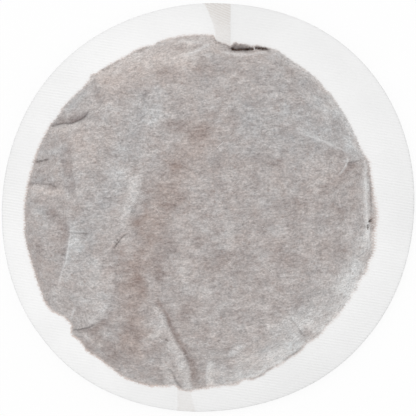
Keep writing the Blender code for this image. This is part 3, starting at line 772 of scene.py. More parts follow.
class PouchShape:
    """Heights and tints of the pack's two sides over its plan, from the panel's sizes."""

    def __init__(self, form):
        self.form = form
        self.settled = None
        self.upper_tucks = self.small_tucks(UPPER_TUCKS, UPPER_TUCK_SEED, PILLOW_FOLDS)
        self.lower_tucks = self.small_tucks(LOWER_TUCKS, LOWER_TUCK_SEED, ())

    def seal_radius(self, bearing):
        return self.form.pouch_radius + from_knots(SEAL_LINE, np.mod(bearing, 360.0)) * MM

    def pouch_points(self, bearing, inset):
        """Points of the plan at bearings about the pillow's middle, distances in from the seal."""
        bearing = np.asarray(bearing, float)
        radius = self.seal_radius(bearing) - inset
        angle = np.radians(bearing)
        return np.stack([radius * np.cos(angle) - POUCH_LEFT, radius * np.sin(angle) - POUCH_BACK], axis=-1)

    def place(self, points):
        """Bearing about the pillow's middle, and distance in from the seal line."""
        across = points[:, 0] + POUCH_LEFT
        along = points[:, 1] + POUCH_BACK
        bearing = np.mod(np.degrees(np.arctan2(along, across)), 360.0)
        return bearing, self.seal_radius(bearing) - np.hypot(across, along)

    def outline_radius(self, bearing):
        oval = OVAL_STRETCH * np.cos(2.0 * np.radians(bearing - OVAL_BEARING))
        corners = CORNER_SWELL * np.cos(4.0 * np.radians(bearing - CORNER_BEARING))
        return self.form.pouch_radius + self.form.flange_width + oval + corners

    def outline(self, count):
        bearing = bearings_round(count)
        angle = np.radians(bearing)
        return self.outline_radius(bearing)[:, None] * np.stack([np.cos(angle), np.sin(angle)], axis=1)

    def cut_distance(self, points):
        """Distance in from the cut edge."""
        bearing = np.degrees(np.arctan2(points[:, 1], points[:, 0]))
        return self.outline_radius(bearing) - np.hypot(points[:, 0], points[:, 1])

    def small_tucks(self, count, seed, main_folds):
        """Short, shallow folds that start at the seal all round, clear of the main folds."""
        draw = random.Random(seed)
        taken = [bearing for fold in main_folds for bearing in self.place(fold.path[[0, -1]])[0]]
        tucks = []
        for turn in range(count):
            bearing = (turn + draw.uniform(-TUCK_STRAY, TUCK_STRAY)) * 360.0 / count
            run = draw.uniform(*TUCK_LENGTH)
            lean = draw.uniform(-TUCK_LEAN, TUCK_LEAN)
            rise = draw.choice(TUCK_SIGNS) * draw.uniform(*TUCK_RISE)
            left = (rise, 2.0 * rise, draw.uniform(*TUCK_LEFT))
            right = (rise, 2.0 * rise, draw.uniform(*TUCK_RIGHT))
            if all(abs((bearing - other + 180.0) % 360.0 - 180.0) > TUCK_CLEARANCE for other in taken):
                bearings = np.array([bearing, bearing + TUCK_BEND * lean, bearing + lean])
                path = self.pouch_points(bearings, np.array([TUCK_START, run / 2.0, run]) * MM)
                tucks.append(Fold(f"tuck_{turn}", left, right, (0, 1), path))
        return tuple(tucks)

    def on_flange(self, points):
        """Which points lie on the flange, clear of its edges."""
        return (self.cut_distance(points) > CUT_MARGIN) & (self.place(points)[1] < -GUIDE_MARGIN)

    def fold_fields(self, points, folds):
        """Height that the folds add, how much paler the paper is, and how dark their lines are: painted
        light and shade of the folds, partly paper standing off the coffee and coffee showing through.
        """
        height = np.zeros(len(points))
        pale = np.zeros(len(points))
        shade = np.zeros(len(points))
        for fold in folds:
            path = wandering(fold.path)
            reach = max(fold.left[2], fold.right[2], LINE_REACH * fold.line[1]) * MM
            near = np.flatnonzero(near_path(points, path, reach))
            distance, side, along = along_path(points[near], path)
            blend = FOLD_BLEND if abs(fold.line[0]) > MARKED_LINE else SOFT_BLEND
            on_left = smooth(0.5 + np.sign(side) * distance / (2.0 * blend))
            tail = smooth(np.minimum(along, 1.0 - along) / FOLD_TAIL)
            for (rise, paler, width), part in ((fold.left, on_left), (fold.right, 1.0 - on_left)):
                slope = np.clip(1.0 - distance / (width * MM), 0.0, 1.0)
                fade = part * tail * slope
                height[near] += rise * MM * fade * slope ** FOLD_ROUNDING
                pale[near] += FOLD_PALER * paler * fade
            line = fold.line[0] * tail * np.exp(-(distance / (fold.line[1] * MM)) ** 2)
            shade[near] = np.where(np.abs(line) > np.abs(shade[near]), line, shade[near])
        return height, pale, shade

    def flange_middle(self, bearing, out):
        """Middle of the flange's thickness, a distance out from the seal line."""
        part = np.maximum(out, 0.0) / self.form.flange_width
        wave = round_noise(bearing, FLANGE_WAVES, FLANGE_SEED)
        droop = FLANGE_DROOP * part ** DROOP_POWER
        return self.form.seal_height - droop + 2.0 * FLANGE_WAVE * wave * smooth(part)

    def in_pleat(self, pleat, bearing, out):
        """1 where a point of the flange lies on the doubled paper of a pleat, easing to 0 at its edges."""
        edges = []
        for edge in (pleat.left, pleat.right):
            bearings, insets = self.place(edge.path)
            edges.append(np.interp(out, -insets, bearings))
        low, high = np.sort(edges, axis=0)
        inside = smooth((bearing - low) / PLEAT_EDGE) * smooth((high - bearing) / PLEAT_EDGE)
        return inside * (out > 0.0)

    def ribs(self, points, bearing, out):
        """Embossed ribs of the flange."""
        main = wave_across(points, RIB_FALL, RIB_PITCH)
        pleat = wave_across(points, PLEAT_FALL, PLEAT_PITCH)
        doubled = self.in_pleat(TOP_PLEAT, bearing, out) > 0.5
        strength = np.where(doubled, PLEAT_RIBS, self.rib_strength(points, bearing))
        wave = np.where(doubled, pleat, main)
        return self.form.rib_depth / 2.0 * wave * strength * smooth(out / RIB_START)

    def rib_strength(self, points, bearing):
        """How deep the embossing is, as a share of its full depth."""
        wear = 1.0 + RIB_WEAR * fractal(points, *RIB_WEAR_SIZE, RIB_SEED, 2)
        return from_knots(RIB_STRENGTH, bearing) * wear

    def gathers(self, bearing, inset, seed):
        """Heights of the gathers along the seal."""
        turns = round(FULL_TURN * self.form.pouch_radius / GATHER_PITCH)
        drift = GATHER_DRIFT * round_noise(bearing, GATHER_DRIFT_WAVES, seed)
        swell = np.sin(turns * np.radians(bearing) + drift)
        fade = smooth(inset / FOLD_START) * (1.0 - smooth(inset / GATHER_REACH))
        return self.form.gather_rise * swell * fade

    def crumples(self, points, seed):
        """Fine creases where two slopes of the paper meet: 1 at a crease, falling away on both sides."""
        return 1.0 - CRUMPLE_SHARPNESS * np.abs(fractal(points, *CRUMPLE_SIZE, seed))

    def crown_height(self, points):
        """The coffee's lumpy crown, which the upper sheet lies on."""
        form = self.form
        inset = self.place(points)[1]
        crown = 1.0 - (1.0 - np.clip(inset / form.crown_shoulder, 0.0, 1.0)) ** CROWN_FULLNESS
        lumps = fractal(points, *LUMP_SIZE, LUMP_SEED) * smooth(inset / LUMP_START)
        return form.seal_height + form.crown_rise * crown + form.lump_rise * lumps

    def basin_rise(self, inset):
        """Rise of the underside's basin: 0 on its flat bottom, 1 at the seal."""
        return np.clip(1.0 - inset / self.form.basin_curve, 0.0, 1.0) ** BASIN_FULLNESS

    def basin_height(self, points):
        """The underside's basin, which the lower sheet lies under."""
        return self.form.seal_height * self.basin_rise(self.place(points)[1])

    def sheet_height(self, points, side):
        """Height of the upper sheet (side 1) or the lower sheet (side -1), settled if it was simulated."""
        plain = self.crown_height(points) if side > 0 else self.basin_height(points)
        if self.settled is None:
            return plain
        settled = ray_heights(self.settled, points, side, plain)
        return plain + np.clip(settled - plain, -FARTHEST_MOVE, FARTHEST_MOVE)

    def lower_heights(self, points):
        """Underside: a basin with a flat bottom, and the flange."""
        form = self.form
        bearing, inset = self.place(points)
        flange = self.flange_middle(bearing, -inset) + self.ribs(points, bearing, -inset)
        flange -= form.flange_thickness / 2.0
        rise = self.basin_rise(inset)
        basin = self.sheet_height(points, -1.0) - form.flange_thickness / 2.0 * rise
        folds = self.fold_fields(points, self.lower_tucks)[0]
        start = smooth(inset / FOLD_START)
        detail = self.gathers(bearing, inset, LOWER_GATHER_SEED) + folds
        detail += form.crumple_rise * self.crumples(points, LOWER_CRUMPLE_SEED)
        basin += detail * start * np.sqrt(rise)
        dents = form.crumple_rise * np.maximum(self.crumples(points, DENT_SEED) - DENT_START, 0.0)
        return np.where(inset <= 0.0, flange, np.maximum(basin + dents * start, 0.0))

    def upper_heights(self, points):
        """Upper side: the pillow with its lumps, folds and crumples, and the flange."""
        form = self.form
        bearing, inset = self.place(points)
        flange = self.flange_middle(bearing, -inset) + self.ribs(points, bearing, -inset)
        pleats = self.fold_fields(points, FLANGE_FOLDS)[0]
        flange += form.flange_thickness / 2.0 + pleats * smooth(-inset / FOLD_START)
        pillow = self.sheet_height(points, 1.0) + form.flange_thickness / 2.0
        folds = self.fold_fields(points, PILLOW_FOLDS + self.upper_tucks)[0]
        start = smooth(inset / FOLD_START)
        pillow += folds * start + self.gathers(bearing, inset, UPPER_GATHER_SEED)
        outer = MIDDLE_CRUMPLES + (1.0 - MIDDLE_CRUMPLES) * smooth(1.0 - inset / CRUMPLE_REACH)
        pillow += form.crumple_rise * self.crumples(points, UPPER_CRUMPLE_SEED) * outer * start
        pillow += form.grain_rise * fractal(points, *GRAIN_SIZE, GRAIN_SEED, 2) * start
        return np.where(inset <= 0.0, flange, np.maximum(pillow, form.seal_height - DEEPEST_FOLD))

    def lower_tints(self, points):
        """How pale and how warm the lower paper is: clouds, its small tucks and a paler rim."""
        inset = self.place(points)[1]
        pale = self.fold_fields(points, self.lower_tucks)[1] + smooth(1.0 - inset / RIM_REACH)
        clouds = [UNDER_CLOUDS * fractal(points, *UNDER_CLOUD_SIZE, seed) for seed in CLOUD_SEEDS]
        return pale + clouds[0], clouds[1]

    def upper_tints(self, points):
        """How pale and how warm the upper paper is, each about -2 to 2, and how dark its lines are, with
        painted light and shade at its folds and rim.
        """
        drift = np.stack([fractal(points, *TINT_WAVE, seed) for seed in DRIFT_SEEDS], axis=1)
        _, pale, shade = self.fold_fields(points, PILLOW_FOLDS + self.upper_tucks)
        lift = (self.sheet_height(points, 1.0) - self.crown_height(points)) / LIFT_REACH
        bearing, inset = self.place(points)
        pale += LIFT_PALER * np.clip(lift, -1.0, 1.0) * smooth(inset / FOLD_START)
        # Painted light on the steep rim against its shading, partly paper standing off the coffee
        pale += from_knots(RIM_PALER, bearing) * smooth(1.0 - inset / RIM_REACH)
        warm = np.zeros(len(points))
        for tint in PILLOW_TINTS:
            reach = tint.reach * MM
            path = wandering(tint.path)
            near = near_path(points, path, TINT_MARGIN * reach)
            distance = np.full(len(points), np.inf)
            distance[near] = along_path(points[near] + TINT_DRIFT * reach * drift[near], path)[0]
            strength = smooth(1.0 - distance / reach)
            pale += tint.pale * strength
            warm += tint.warm * strength
        return pale, warm, shade


def rib_axes(fall):
    """Directions across and along ribs that fall to the right by an angle in degrees."""
    angle = math.radians(fall)
    return np.array([math.sin(angle), math.cos(angle)]), np.array([math.cos(angle), -math.sin(angle)])


def wave_across(points, fall, pitch):
    """A wave with its crests along ribs of a fall and a pitch."""
    return np.cos(FULL_TURN * (points @ rib_axes(fall)[0]) / pitch)


def rib_rows(shape, fall, pitch, in_pleat):
    """Rows of points along the flange's ribs, each a list of points that follow each other."""
    across, along = rib_axes(fall)
    count = int(ROW_REACH / (pitch / ROWS_PER_RIB))
    rows = []
    for row in range(-count, count + 1):
        places = np.arange(-ROW_REACH, ROW_REACH, ROW_STEP) + ROW_STEP / 2.0 * (row % 2)
        points = row * pitch / ROWS_PER_RIB * across + places[:, None] * along
        bearing, inset = shape.place(points)
        keep = (inset < -ROW_MARGIN) & (shape.cut_distance(points) > ROW_MARGIN)
        keep &= (shape.in_pleat(TOP_PLEAT, bearing, -inset) > 0.5) == in_pleat
        ends = np.flatnonzero(np.diff(np.concatenate([[0], keep.astype(int), [0]])))
        rows += [points[start:end] for start, end in zip(ends[::2], ends[1::2])]
    return rows


def hex_points(step, reach):
    """Evenly spaced points of a triangular grid."""
    high = step * math.sqrt(0.75)
    rows = np.arange(-int(reach / high), int(reach / high) + 1)
    columns = np.arange(-int(reach / step), int(reach / step) + 1)
    return np.array([((c + 0.5 * (r % 2)) * step, r * high) for r in rows for c in columns])


def beside(path, offset):
    """A path moved sideways, to its left for a positive offset."""
    run = np.gradient(path, axis=0)
    run /= np.maximum(np.linalg.norm(run, axis=1), 1e-12)[:, None]
    return path + offset * np.stack([-run[:, 1], run[:, 0]], axis=1)


def plan_mesh(outline, loops, lines, fill, clear):
    """Triangles of the plan that keep the outline and every loop and line as edges."""
    points = [outline]
    edges = []
    count = len(outline)
    for line, closed in [(loop, True) for loop in loops] + [(line, False) for line in lines]:
        edges += [(count + i, count + i + 1) for i in range(len(line) - 1)]
        if closed:
            edges.append((count + len(line) - 1, count))
        points.append(line)
        count += len(line)
    guides = np.concatenate(points)
    tree = kdtree.KDTree(len(guides))
    for index, (x, y) in enumerate(guides):
        tree.insert((x, y, 0.0), index)
    tree.balance()
    free = [point for point in fill if tree.find((point[0], point[1], 0.0))[2] > clear]
    everything = [Vector(point) for point in np.concatenate([guides, np.array(free)])]
    result = delaunay_2d_cdt(everything, edges, [list(range(len(outline)))], 1, 1e-7, False)
    return np.array([tuple(point) for point in result[0]]), result[2]


def ray_heights(tree, points, side, otherwise):
    """Heights where rays from above (side 1) or below (side -1) meet a surface."""
    heights = np.array(otherwise)
    for index, (x, y) in enumerate(points):
        hit = tree.ray_cast(Vector((x, y, side)), Vector((0.0, 0.0, -side)))[0]
        if hit:
            heights[index] = hit.z
    return heights


def cushion(shape, name, step, edge, above, below):
    """Closed mesh round the coffee, from a distance in from the seal, moved off its crown and basin."""
    count = round(FULL_TURN * shape.form.pouch_radius / step)
    clear = SHEET_CLEARANCE * step
    ring = shape.pouch_points(bearings_round(count), edge)
    grid = hex_points(step, shape.form.pouch_radius + GRID_MARGIN)
    grid += SHEET_JITTER * step * np.random.default_rng(SHEET_SEED).uniform(-1.0, 1.0, grid.shape)
    grid = grid[shape.place(grid)[1] > edge + clear]
    plan, faces = plan_mesh(ring, [], [], grid, clear)
    middle = shape.form.seal_height
    top = np.maximum(shape.crown_height(plan) + above, middle)
    top[:count] = middle
    bottom = np.minimum(shape.basin_height(plan) + below, middle)
    points = np.concatenate([np.column_stack([plan, top]), np.column_stack([plan, bottom])[count:]])
    shift = len(plan) - count
    lower = [tuple(index if index < count else index + shift for index in reversed(face)) for face in faces]
    mesh = bpy.data.meshes.new(name)
    mesh.from_pydata((points * CLOTH_SCALE).tolist(), [], [tuple(face) for face in faces] + lower)
    body = bpy.data.objects.new(name, mesh)
    bpy.context.scene.collection.objects.link(body)
    return body, count


def add_cloth(sheet, form):
    """Cloth a little too wide for the coffee it lies on, held at the seal and drawn in on both sides.

    Distances are those of the larger scale that the simulation runs at.
    """
    cloth = sheet.modifiers.new("Cloth", "CLOTH")
    fabric = cloth.settings
    fabric.quality = 6
    fabric.mass = 0.3
    fabric.tension_stiffness = 15.0
    fabric.compression_stiffness = 15.0
    fabric.shear_stiffness = 7.5
    fabric.bending_stiffness = form.paper_bending
    fabric.air_damping = 2.0
    fabric.vertex_group_mass = "seal"
    fabric.shrink_min = -form.spare_paper
    fabric.shrink_max = -form.spare_paper
    fabric.use_pressure = True
    fabric.uniform_pressure_force = -0.5
    fabric.effector_weights.gravity = 0.0
    cloth.collision_settings.collision_quality = 3
    cloth.collision_settings.distance_min = 0.004


def settled_pouch(shape):
    """Both sheets of the pillow after a cloth simulation, as a tree for ray casts."""
    sheet, sealed = cushion(shape, "sheet", SHEET_STEP, 0.0, SHEET_LIFT, 0.0)
    sheet.vertex_groups.new(name="seal").add(list(range(sealed)), 1.0, "REPLACE")
    core, _ = cushion(shape, "core", CORE_STEP, CORE_EDGE, -CORE_GAP, CORE_FLOOR)
    core.modifiers.new("Collision", "COLLISION")
    core.collision.thickness_outer = 0.005
    core.collision.thickness_inner = 0.1
    core.collision.cloth_friction = 20.0
    add_cloth(sheet, shape.form)
    for moment in range(1, SETTLE_FRAMES + 1):
        bpy.context.scene.frame_set(moment)
    deselect()
    bpy.context.view_layer.objects.active = sheet
    bpy.ops.object.modifier_apply(modifier="Cloth")
    finer = sheet.modifiers.new("Subdivision", "SUBSURF")
    finer.levels = 1
    finer.render_levels = 1
    bpy.ops.object.modifier_apply(modifier="Subdivision")
    points = [vertex.co / CLOTH_SCALE for vertex in sheet.data.vertices]
    tree = BVHTree.FromPolygons(points, [tuple(face.vertices) for face in sheet.data.polygons])
    for body in (sheet, core):
        bpy.data.meshes.remove(body.data)
    bpy.context.scene.frame_set(1)
    return tree


def fold_lines(folds, offsets, keep):
    """Lines of mesh points along and beside folds, without the points that keep turns down."""
    lines = [beside(wandering(fold.path), offset) for fold in folds for offset in offsets]
    return [line[keep(line)] for line in lines]


def upper_plan(shape, outline, seal, rows):
    """Plan of the upper side's mesh: points and triangles."""
    step = shape.form.fine_step
    lines = fold_lines(PILLOW_FOLDS, GUIDE_OFFSETS, lambda line: shape.place(line)[1] > GUIDE_MARGIN)
    lines += fold_lines(FLANGE_FOLDS, PLEAT_OFFSETS, shape.on_flange)
    grid = hex_points(step, shape.form.pouch_radius + GRID_MARGIN)
    grid = grid[shape.place(grid)[1] > SEAL_CLEARANCE * step]
    return plan_mesh(outline, [seal], lines + rows, grid, POINT_CLEARANCE * step)


def lower_plan(shape, outline, seal, rows):
    """Plan of the lower side's mesh, which is coarser on the flat bottom."""
    form = shape.form
    step = form.coarse_step
    bottom = shape.pouch_points(bearings_round(BOTTOM_POINTS), form.basin_curve)
    grid = hex_points(step, form.pouch_radius + GRID_MARGIN)
    inset = shape.place(grid)[1]
    basin = grid[(inset > SEAL_CLEARANCE * step) & (inset < form.basin_curve - step / 2.0)]
    grid = hex_points(FLAT_COARSER * step, form.pouch_radius)
    flat = grid[shape.place(grid)[1] > form.basin_curve + step]
    fill = np.concatenate([basin, flat])
    return plan_mesh(outline, [seal, bottom], rows, fill, POINT_CLEARANCE * step)


def paper_facts(shape, upper, lower):
    """What the paper's material reads at each point: distances in millimetres, tints and strengths."""
    plan = np.concatenate([upper, lower])
    width = shape.form.flange_width
    bearing, inset = shape.place(upper)
    doubled = sum(pleat.tone * shape.in_pleat(pleat, bearing, -inset) for pleat in PLEATS)
    doubled *= 1.0 - PLEAT_FADE * np.clip(1.0 + inset / width, 0.0, 1.0)
    pale, warm, shade = shape.upper_tints(upper)
    under_pale, under_warm = shape.lower_tints(lower)
    under = np.zeros(len(lower))
    bearing, inset = shape.place(plan)
    return {
        "inset": inset / MM,
        "cut": shape.cut_distance(plan) / MM,
        "pale": np.concatenate([pale, under_pale]),
        "warm": np.concatenate([warm, under_warm]),
        "shade": np.concatenate([shade, under]),
        "doubled": np.concatenate([doubled, under]),
        "ribs": shape.rib_strength(plan, bearing),
        # Painted shading of the flange by bearing and towards the cut edge
        "flange": from_knots(FLANGE_TONE, bearing) - FLANGE_FADE * smooth(-inset / width),
        "comb": from_knots(COMB_STRENGTH, bearing),
        "stain": from_knots(SEAL_STAIN, bearing),
    }


def pouch_mesh(shape):
    """The whole pack as one closed mesh, with what its material reads as attributes."""
    outline = shape.outline(OUTLINE_POINTS)
    seal = shape.pouch_points(bearings_round(SEAL_POINTS), 0.0)
    rows = rib_rows(shape, RIB_FALL, RIB_PITCH, False) + rib_rows(shape, PLEAT_FALL, PLEAT_PITCH, True)
    upper, upper_faces = upper_plan(shape, outline, seal, rows)
    lower, lower_faces = lower_plan(shape, outline, seal, rows)
    count = len(upper)
    turns = len(outline)
    rim = [(count + i, count + (i + 1) % turns, (i + 1) % turns, i) for i in range(turns)]
    faces = [tuple(face) for face in upper_faces]
    faces += [tuple(count + index for index in reversed(face)) for face in lower_faces]
    height = np.concatenate([shape.upper_heights(upper), shape.lower_heights(lower)])
    points = np.column_stack([np.concatenate([upper, lower]), height])
    mesh = bpy.data.meshes.new("filter_pouch")
    mesh.from_pydata(points.tolist(), [], faces + rim)
    for name, values in paper_facts(shape, upper, lower).items():
        attribute = mesh.attributes.new(name, "FLOAT", "POINT")
        attribute.data.foreach_set("value", values.astype(np.float32))
    mesh.shade_smooth()
    return mesh


# Room that a node takes and how many stand in a column, and the sockets of a Mix node for colours
NODE_WIDTH = 220.0
NODE_HEIGHT = 260.0
COLUMN_NODES = 6
MIX_FACTOR = 0
MIX_FIRST = 6
MIX_SECOND = 7
MIX_RESULT = 2


class Nodes:
    """A node tree with short ways to add nodes, which places them in columns as they are made."""

    def __init__(self, tree):
        self.tree = tree
        self.made = 0

    def add(self, kind, inputs=None, **settings):
        """Adds a node. Inputs are plain values or sockets, by name or number."""
        node = self.tree.nodes.new(kind)
        column, row = divmod(self.made, COLUMN_NODES)
        node.location = (NODE_WIDTH * column, -NODE_HEIGHT * row)
        self.made += 1
        for name, value in settings.items():
            setattr(node, name, value)
        for name, value in (inputs or {}).items():
            if isinstance(value, bpy.types.NodeSocket):
                self.tree.links.new(value, node.inputs[name])
            else:
                node.inputs[name].default_value = value
        return node

    def maths(self, operation, *terms, clamp=False):
        node = self.add("ShaderNodeMath", dict(enumerate(terms)), operation=operation, use_clamp=clamp)
        return node.outputs[0]

    def ramp(self, value, low, high, start=0.0, end=1.0):
        """Eases from start to end as value goes from low to high."""
        inputs = {"Value": value, "From Min": low, "From Max": high, "To Min": start, "To Max": end}
        return self.add("ShaderNodeMapRange", inputs, interpolation_type="SMOOTHSTEP").outputs[0]

    def total(self, value, *terms):
        """A value plus each term times its strength."""
        for term, strength in terms:
            value = self.maths("MULTIPLY_ADD", term, strength, value)
        return value

    def within(self, value):
        """A value kept between 0 and 1."""
        return self.maths("MINIMUM", self.maths("MAXIMUM", value, 0.0), 1.0)

    def grey(self, value):
        return self.add("ShaderNodeCombineColor", {0: value, 1: value, 2: value}).outputs[0]

    def mix(self, factor, first, second, blend="MIX"):
        """Mixes two colours by a share from 0 to 1."""
        inputs = {MIX_FACTOR: factor, MIX_FIRST: first, MIX_SECOND: second}
        node = self.add("ShaderNodeMix", inputs, data_type="RGBA", blend_type=blend)
        return node.outputs[MIX_RESULT]

    def noise(self, vector, detail, roughness=0.9, scale=1.0, distortion=0.0):
        """Noise with its mean at 0, of about -0.4 to 0.4."""
        inputs = {"Vector": vector, "Scale": scale, "Detail": detail}
        inputs |= {"Roughness": roughness, "Distortion": distortion}
        texture = self.add("ShaderNodeTexNoise", inputs)
        return self.maths("SUBTRACT", texture.outputs["Fac"], 0.5)

    def turned(self, vector, degrees, scale):
        """A position turned about Z, then scaled along each axis."""
        turn = (0.0, 0.0, math.radians(degrees))
        spun = self.add("ShaderNodeMapping", {"Vector": vector, "Rotation": turn})
        sized = self.add("ShaderNodeMapping", {"Vector": spun.outputs[0], "Scale": scale})
        return sized.outputs[0]

    def patches(self, position, degrees, sizes, detail):
        """Noise whose patches are turned about Z and have these sizes in millimetres."""
        return self.noise(self.turned(position, degrees, tuple(1.0 / size for size in sizes)), detail)

    def attribute(self, name):
        return self.add("ShaderNodeAttribute", attribute_name=name, attribute_type="GEOMETRY").outputs["Fac"]


def emptied(owner):
    """The node tree of a material or a world, with its own nodes taken out."""
    owner.use_nodes = True
    owner.node_tree.nodes.clear()
    return Nodes(owner.node_tree)


def new_group(name, inputs, outputs):
    """An empty shader node group with float, vector or colour sockets."""
    tree = bpy.data.node_groups.new(name, "ShaderNodeTree")
    kinds = {"Float": "NodeSocketFloat", "Vector": "NodeSocketVector", "Color": "NodeSocketColor"}
    for socket, kind in inputs:
        tree.interface.new_socket(name=socket, in_out="INPUT", socket_type=kinds[kind])
    for socket, kind in outputs:
        tree.interface.new_socket(name=socket, in_out="OUTPUT", socket_type=kinds[kind])
    nodes = Nodes(tree)
    return nodes, nodes.add("NodeGroupInput").outputs


# Layers of the fibre web: turn in degrees, and how fine each is along and across its fibres. The
# bump is raised along one layer's fibres.
FIBRE_LAYERS = ((-7.0, 0.55, 2.9), (19.0, 0.7, 3.3), (-33.0, 0.8, 3.1), (64.0, 0.9, 2.9))
FIBRE_CURL = 0.35
FIBRE_RIDGE = 0.12


def fibre_web_group():
    """Web of long paper fibres, most of them lying left to right. Position is in millimetres."""
    name = "Fibre web"
    if name in bpy.data.node_groups:
        return bpy.data.node_groups[name]
    nodes, given = new_group(name, [("Position", "Vector")], [("Web", "Float"), ("Relief", "Float")])
    layers = []
    for turn, along, across in FIBRE_LAYERS:
        place = nodes.turned(given["Position"], turn, (along, across, across))
        layers.append(nodes.noise(place, 3.0, 0.75, distortion=FIBRE_CURL))
    pairs = [nodes.maths("ADD", *pair) for pair in (layers[:2], layers[2:])]
    crossing = nodes.maths("ADD", *pairs)
    ridge = nodes.maths("SUBTRACT", FIBRE_RIDGE, nodes.maths("ABSOLUTE", layers[1]))
    relief = nodes.maths("ADD", crossing, ridge)
    nodes.add("NodeGroupOutput", {"Web": crossing, "Relief": relief})
    return nodes.tree


def fibre_web(nodes, position):
    """The web's tone and its relief."""
    group = nodes.add("ShaderNodeGroup", node_tree=fibre_web_group())
    nodes.tree.links.new(position, group.inputs["Position"])
    return group.outputs["Web"], group.outputs["Relief"]


def new_material(name):
    """A material with its nodes, and the position on its piece in millimetres."""
    material = bpy.data.materials.new(name)
    nodes = emptied(material)
    place = nodes.add("ShaderNodeTexCoord").outputs["Object"]
    position = nodes.add("ShaderNodeMapping", {"Vector": place, "Scale": (1 / MM, 1 / MM, 1 / MM)}).outputs[0]
    return material, nodes, position


def finish_material(nodes, surface, roughness, height, relief_depth, sockets):
    """Adds the bump, the shader and the output."""
    bump = nodes.add("ShaderNodeBump", {"Height": height, "Strength": 1.0, "Distance": relief_depth})
    inputs = {"Base Color": surface, "Roughness": roughness, "Normal": bump.outputs[0], **sockets}
    shader = nodes.add("ShaderNodeBsdfPrincipled", inputs)
    nodes.add("ShaderNodeOutputMaterial", {"Surface": shader.outputs[0]})


# Depths of the bump on paper, coffee and fibres, and the paler colour of ground coffee
PAPER_RELIEF = 0.03 * MM
COFFEE_RELIEF = 0.05 * MM
FIBRE_RELIEF = 0.01 * MM
PALER_COFFEE = colour_of(104, 78, 62)

# Share of the pale and of the warm paper where there is no tint, and how much a tint of 1 adds
PALE_START = 0.425
PALE_PER_TINT = 1.0 / 8.0
WARM_START = 0.54
WARM_PER_TINT = 1.0 / 7.0

# Cells of the small dark spots, per millimetre
SPOT_CELLS = 0.28


def pillow_colour(nodes, look, position, web):
    """Paper over coffee: paler where it stands off the coffee, darker and browner where it lies on it,
    and with the painted light and shade that its tints carry.
    """
    streaks = nodes.patches(position, 4.0, (10.0, 26.0, 12.0), 1.0)
    clouds = nodes.patches(position, -8.0, (5.6, 3.8, 4.5), 1.0)
    tufts = nodes.patches(position, -5.0, (2.8, 1.15, 1.6), 1.0)
    grains = nodes.patches(position, -4.0, (0.74, 0.46, 0.5), 1.0)
    drift = nodes.patches(position, 30.0, (7.0, 7.0, 7.0), 4.0)
    pale = nodes.total(PALE_START, (nodes.attribute("pale"), PALE_PER_TINT))
    pale = nodes.within(nodes.total(pale, (streaks, 0.15), (clouds, 0.45), (tufts, 0.4)))
    warm = nodes.total(WARM_START, (nodes.attribute("warm"), WARM_PER_TINT), (drift, 1.2))
    warm = nodes.within(warm)
    grey = nodes.grey(nodes.total(1.0, (tufts, 0.3), (grains, 1.15), (web, 0.26)))
    dark = nodes.mix(warm, look.dark_cool, look.dark_warm)
    light = nodes.mix(warm, look.pale_cool, look.pale_warm)
    paper = nodes.mix(1.0, nodes.mix(pale, dark, light), grey, "MULTIPLY")
    spots = nodes.add("ShaderNodeTexVoronoi", {"Vector": position, "Scale": SPOT_CELLS, "Randomness": 1.0})
    spot = nodes.ramp(spots.outputs["Distance"], 0.05, 0.14, 0.45, 0.0)
    return nodes.mix(spot, paper, look.dark_warm)


def rib_wave(nodes, position, fall, pitch):
    """The wave of the embossed ribs, as wave_across has it."""
    turns = FULL_TURN / (pitch / MM)
    direction = (*(turns * rib_axes(fall)[0]), 0.0)
    across = nodes.add("ShaderNodeVectorMath", {0: position, 1: direction}, operation="DOT_PRODUCT")
    return nodes.maths("COSINE", across.outputs["Value"])


def flange_colour(nodes, look, position, web, broken, comb):
    """White paper of the flange: embossed, with painted shading of its droop, waves and ribs, greyer
    towards the cut edge, and greyer in the pleats with painted shade in the grooves of their ribs.
    """
    # Painted shading: brighter rib crests and darker grooves, the flange's tone by bearing and towards the
    # cut edge, and soft waves of light and shade
    ribs = nodes.maths("MULTIPLY", comb, nodes.attribute("ribs"))
    waves = nodes.patches(position, 0.0, (13.0, 11.0, 12.0), 1.0)
    tone = nodes.total(nodes.attribute("flange"), (ribs, 0.028), (web, 0.05), (waves, 0.05))
    # Greyer towards the cut edge
    cut_edge_grey = nodes.ramp(nodes.attribute("cut"), 0.0, 1.4, 0.025, 0.0)
    grey = nodes.grey(nodes.maths("SUBTRACT", tone, cut_edge_grey))
    flange = nodes.mix(1.0, look.pressed, grey, "MULTIPLY")
    doubled = nodes.attribute("doubled")
    # Painted shade in the grooves of the pleat's ribs
    lines = nodes.ramp(rib_wave(nodes, position, PLEAT_FALL, PLEAT_PITCH), -1.0, 0.2, 0.95, 0.15)
    lines = nodes.maths("MULTIPLY", nodes.ramp(doubled, 0.6, 1.0), lines)
    doubled = nodes.maths("MULTIPLY", doubled, nodes.total(0.5, (broken, 0.8)))
    doubled = nodes.maths("MAXIMUM", doubled, lines, clamp=True)
    return nodes.mix(doubled, flange, look.doubled)


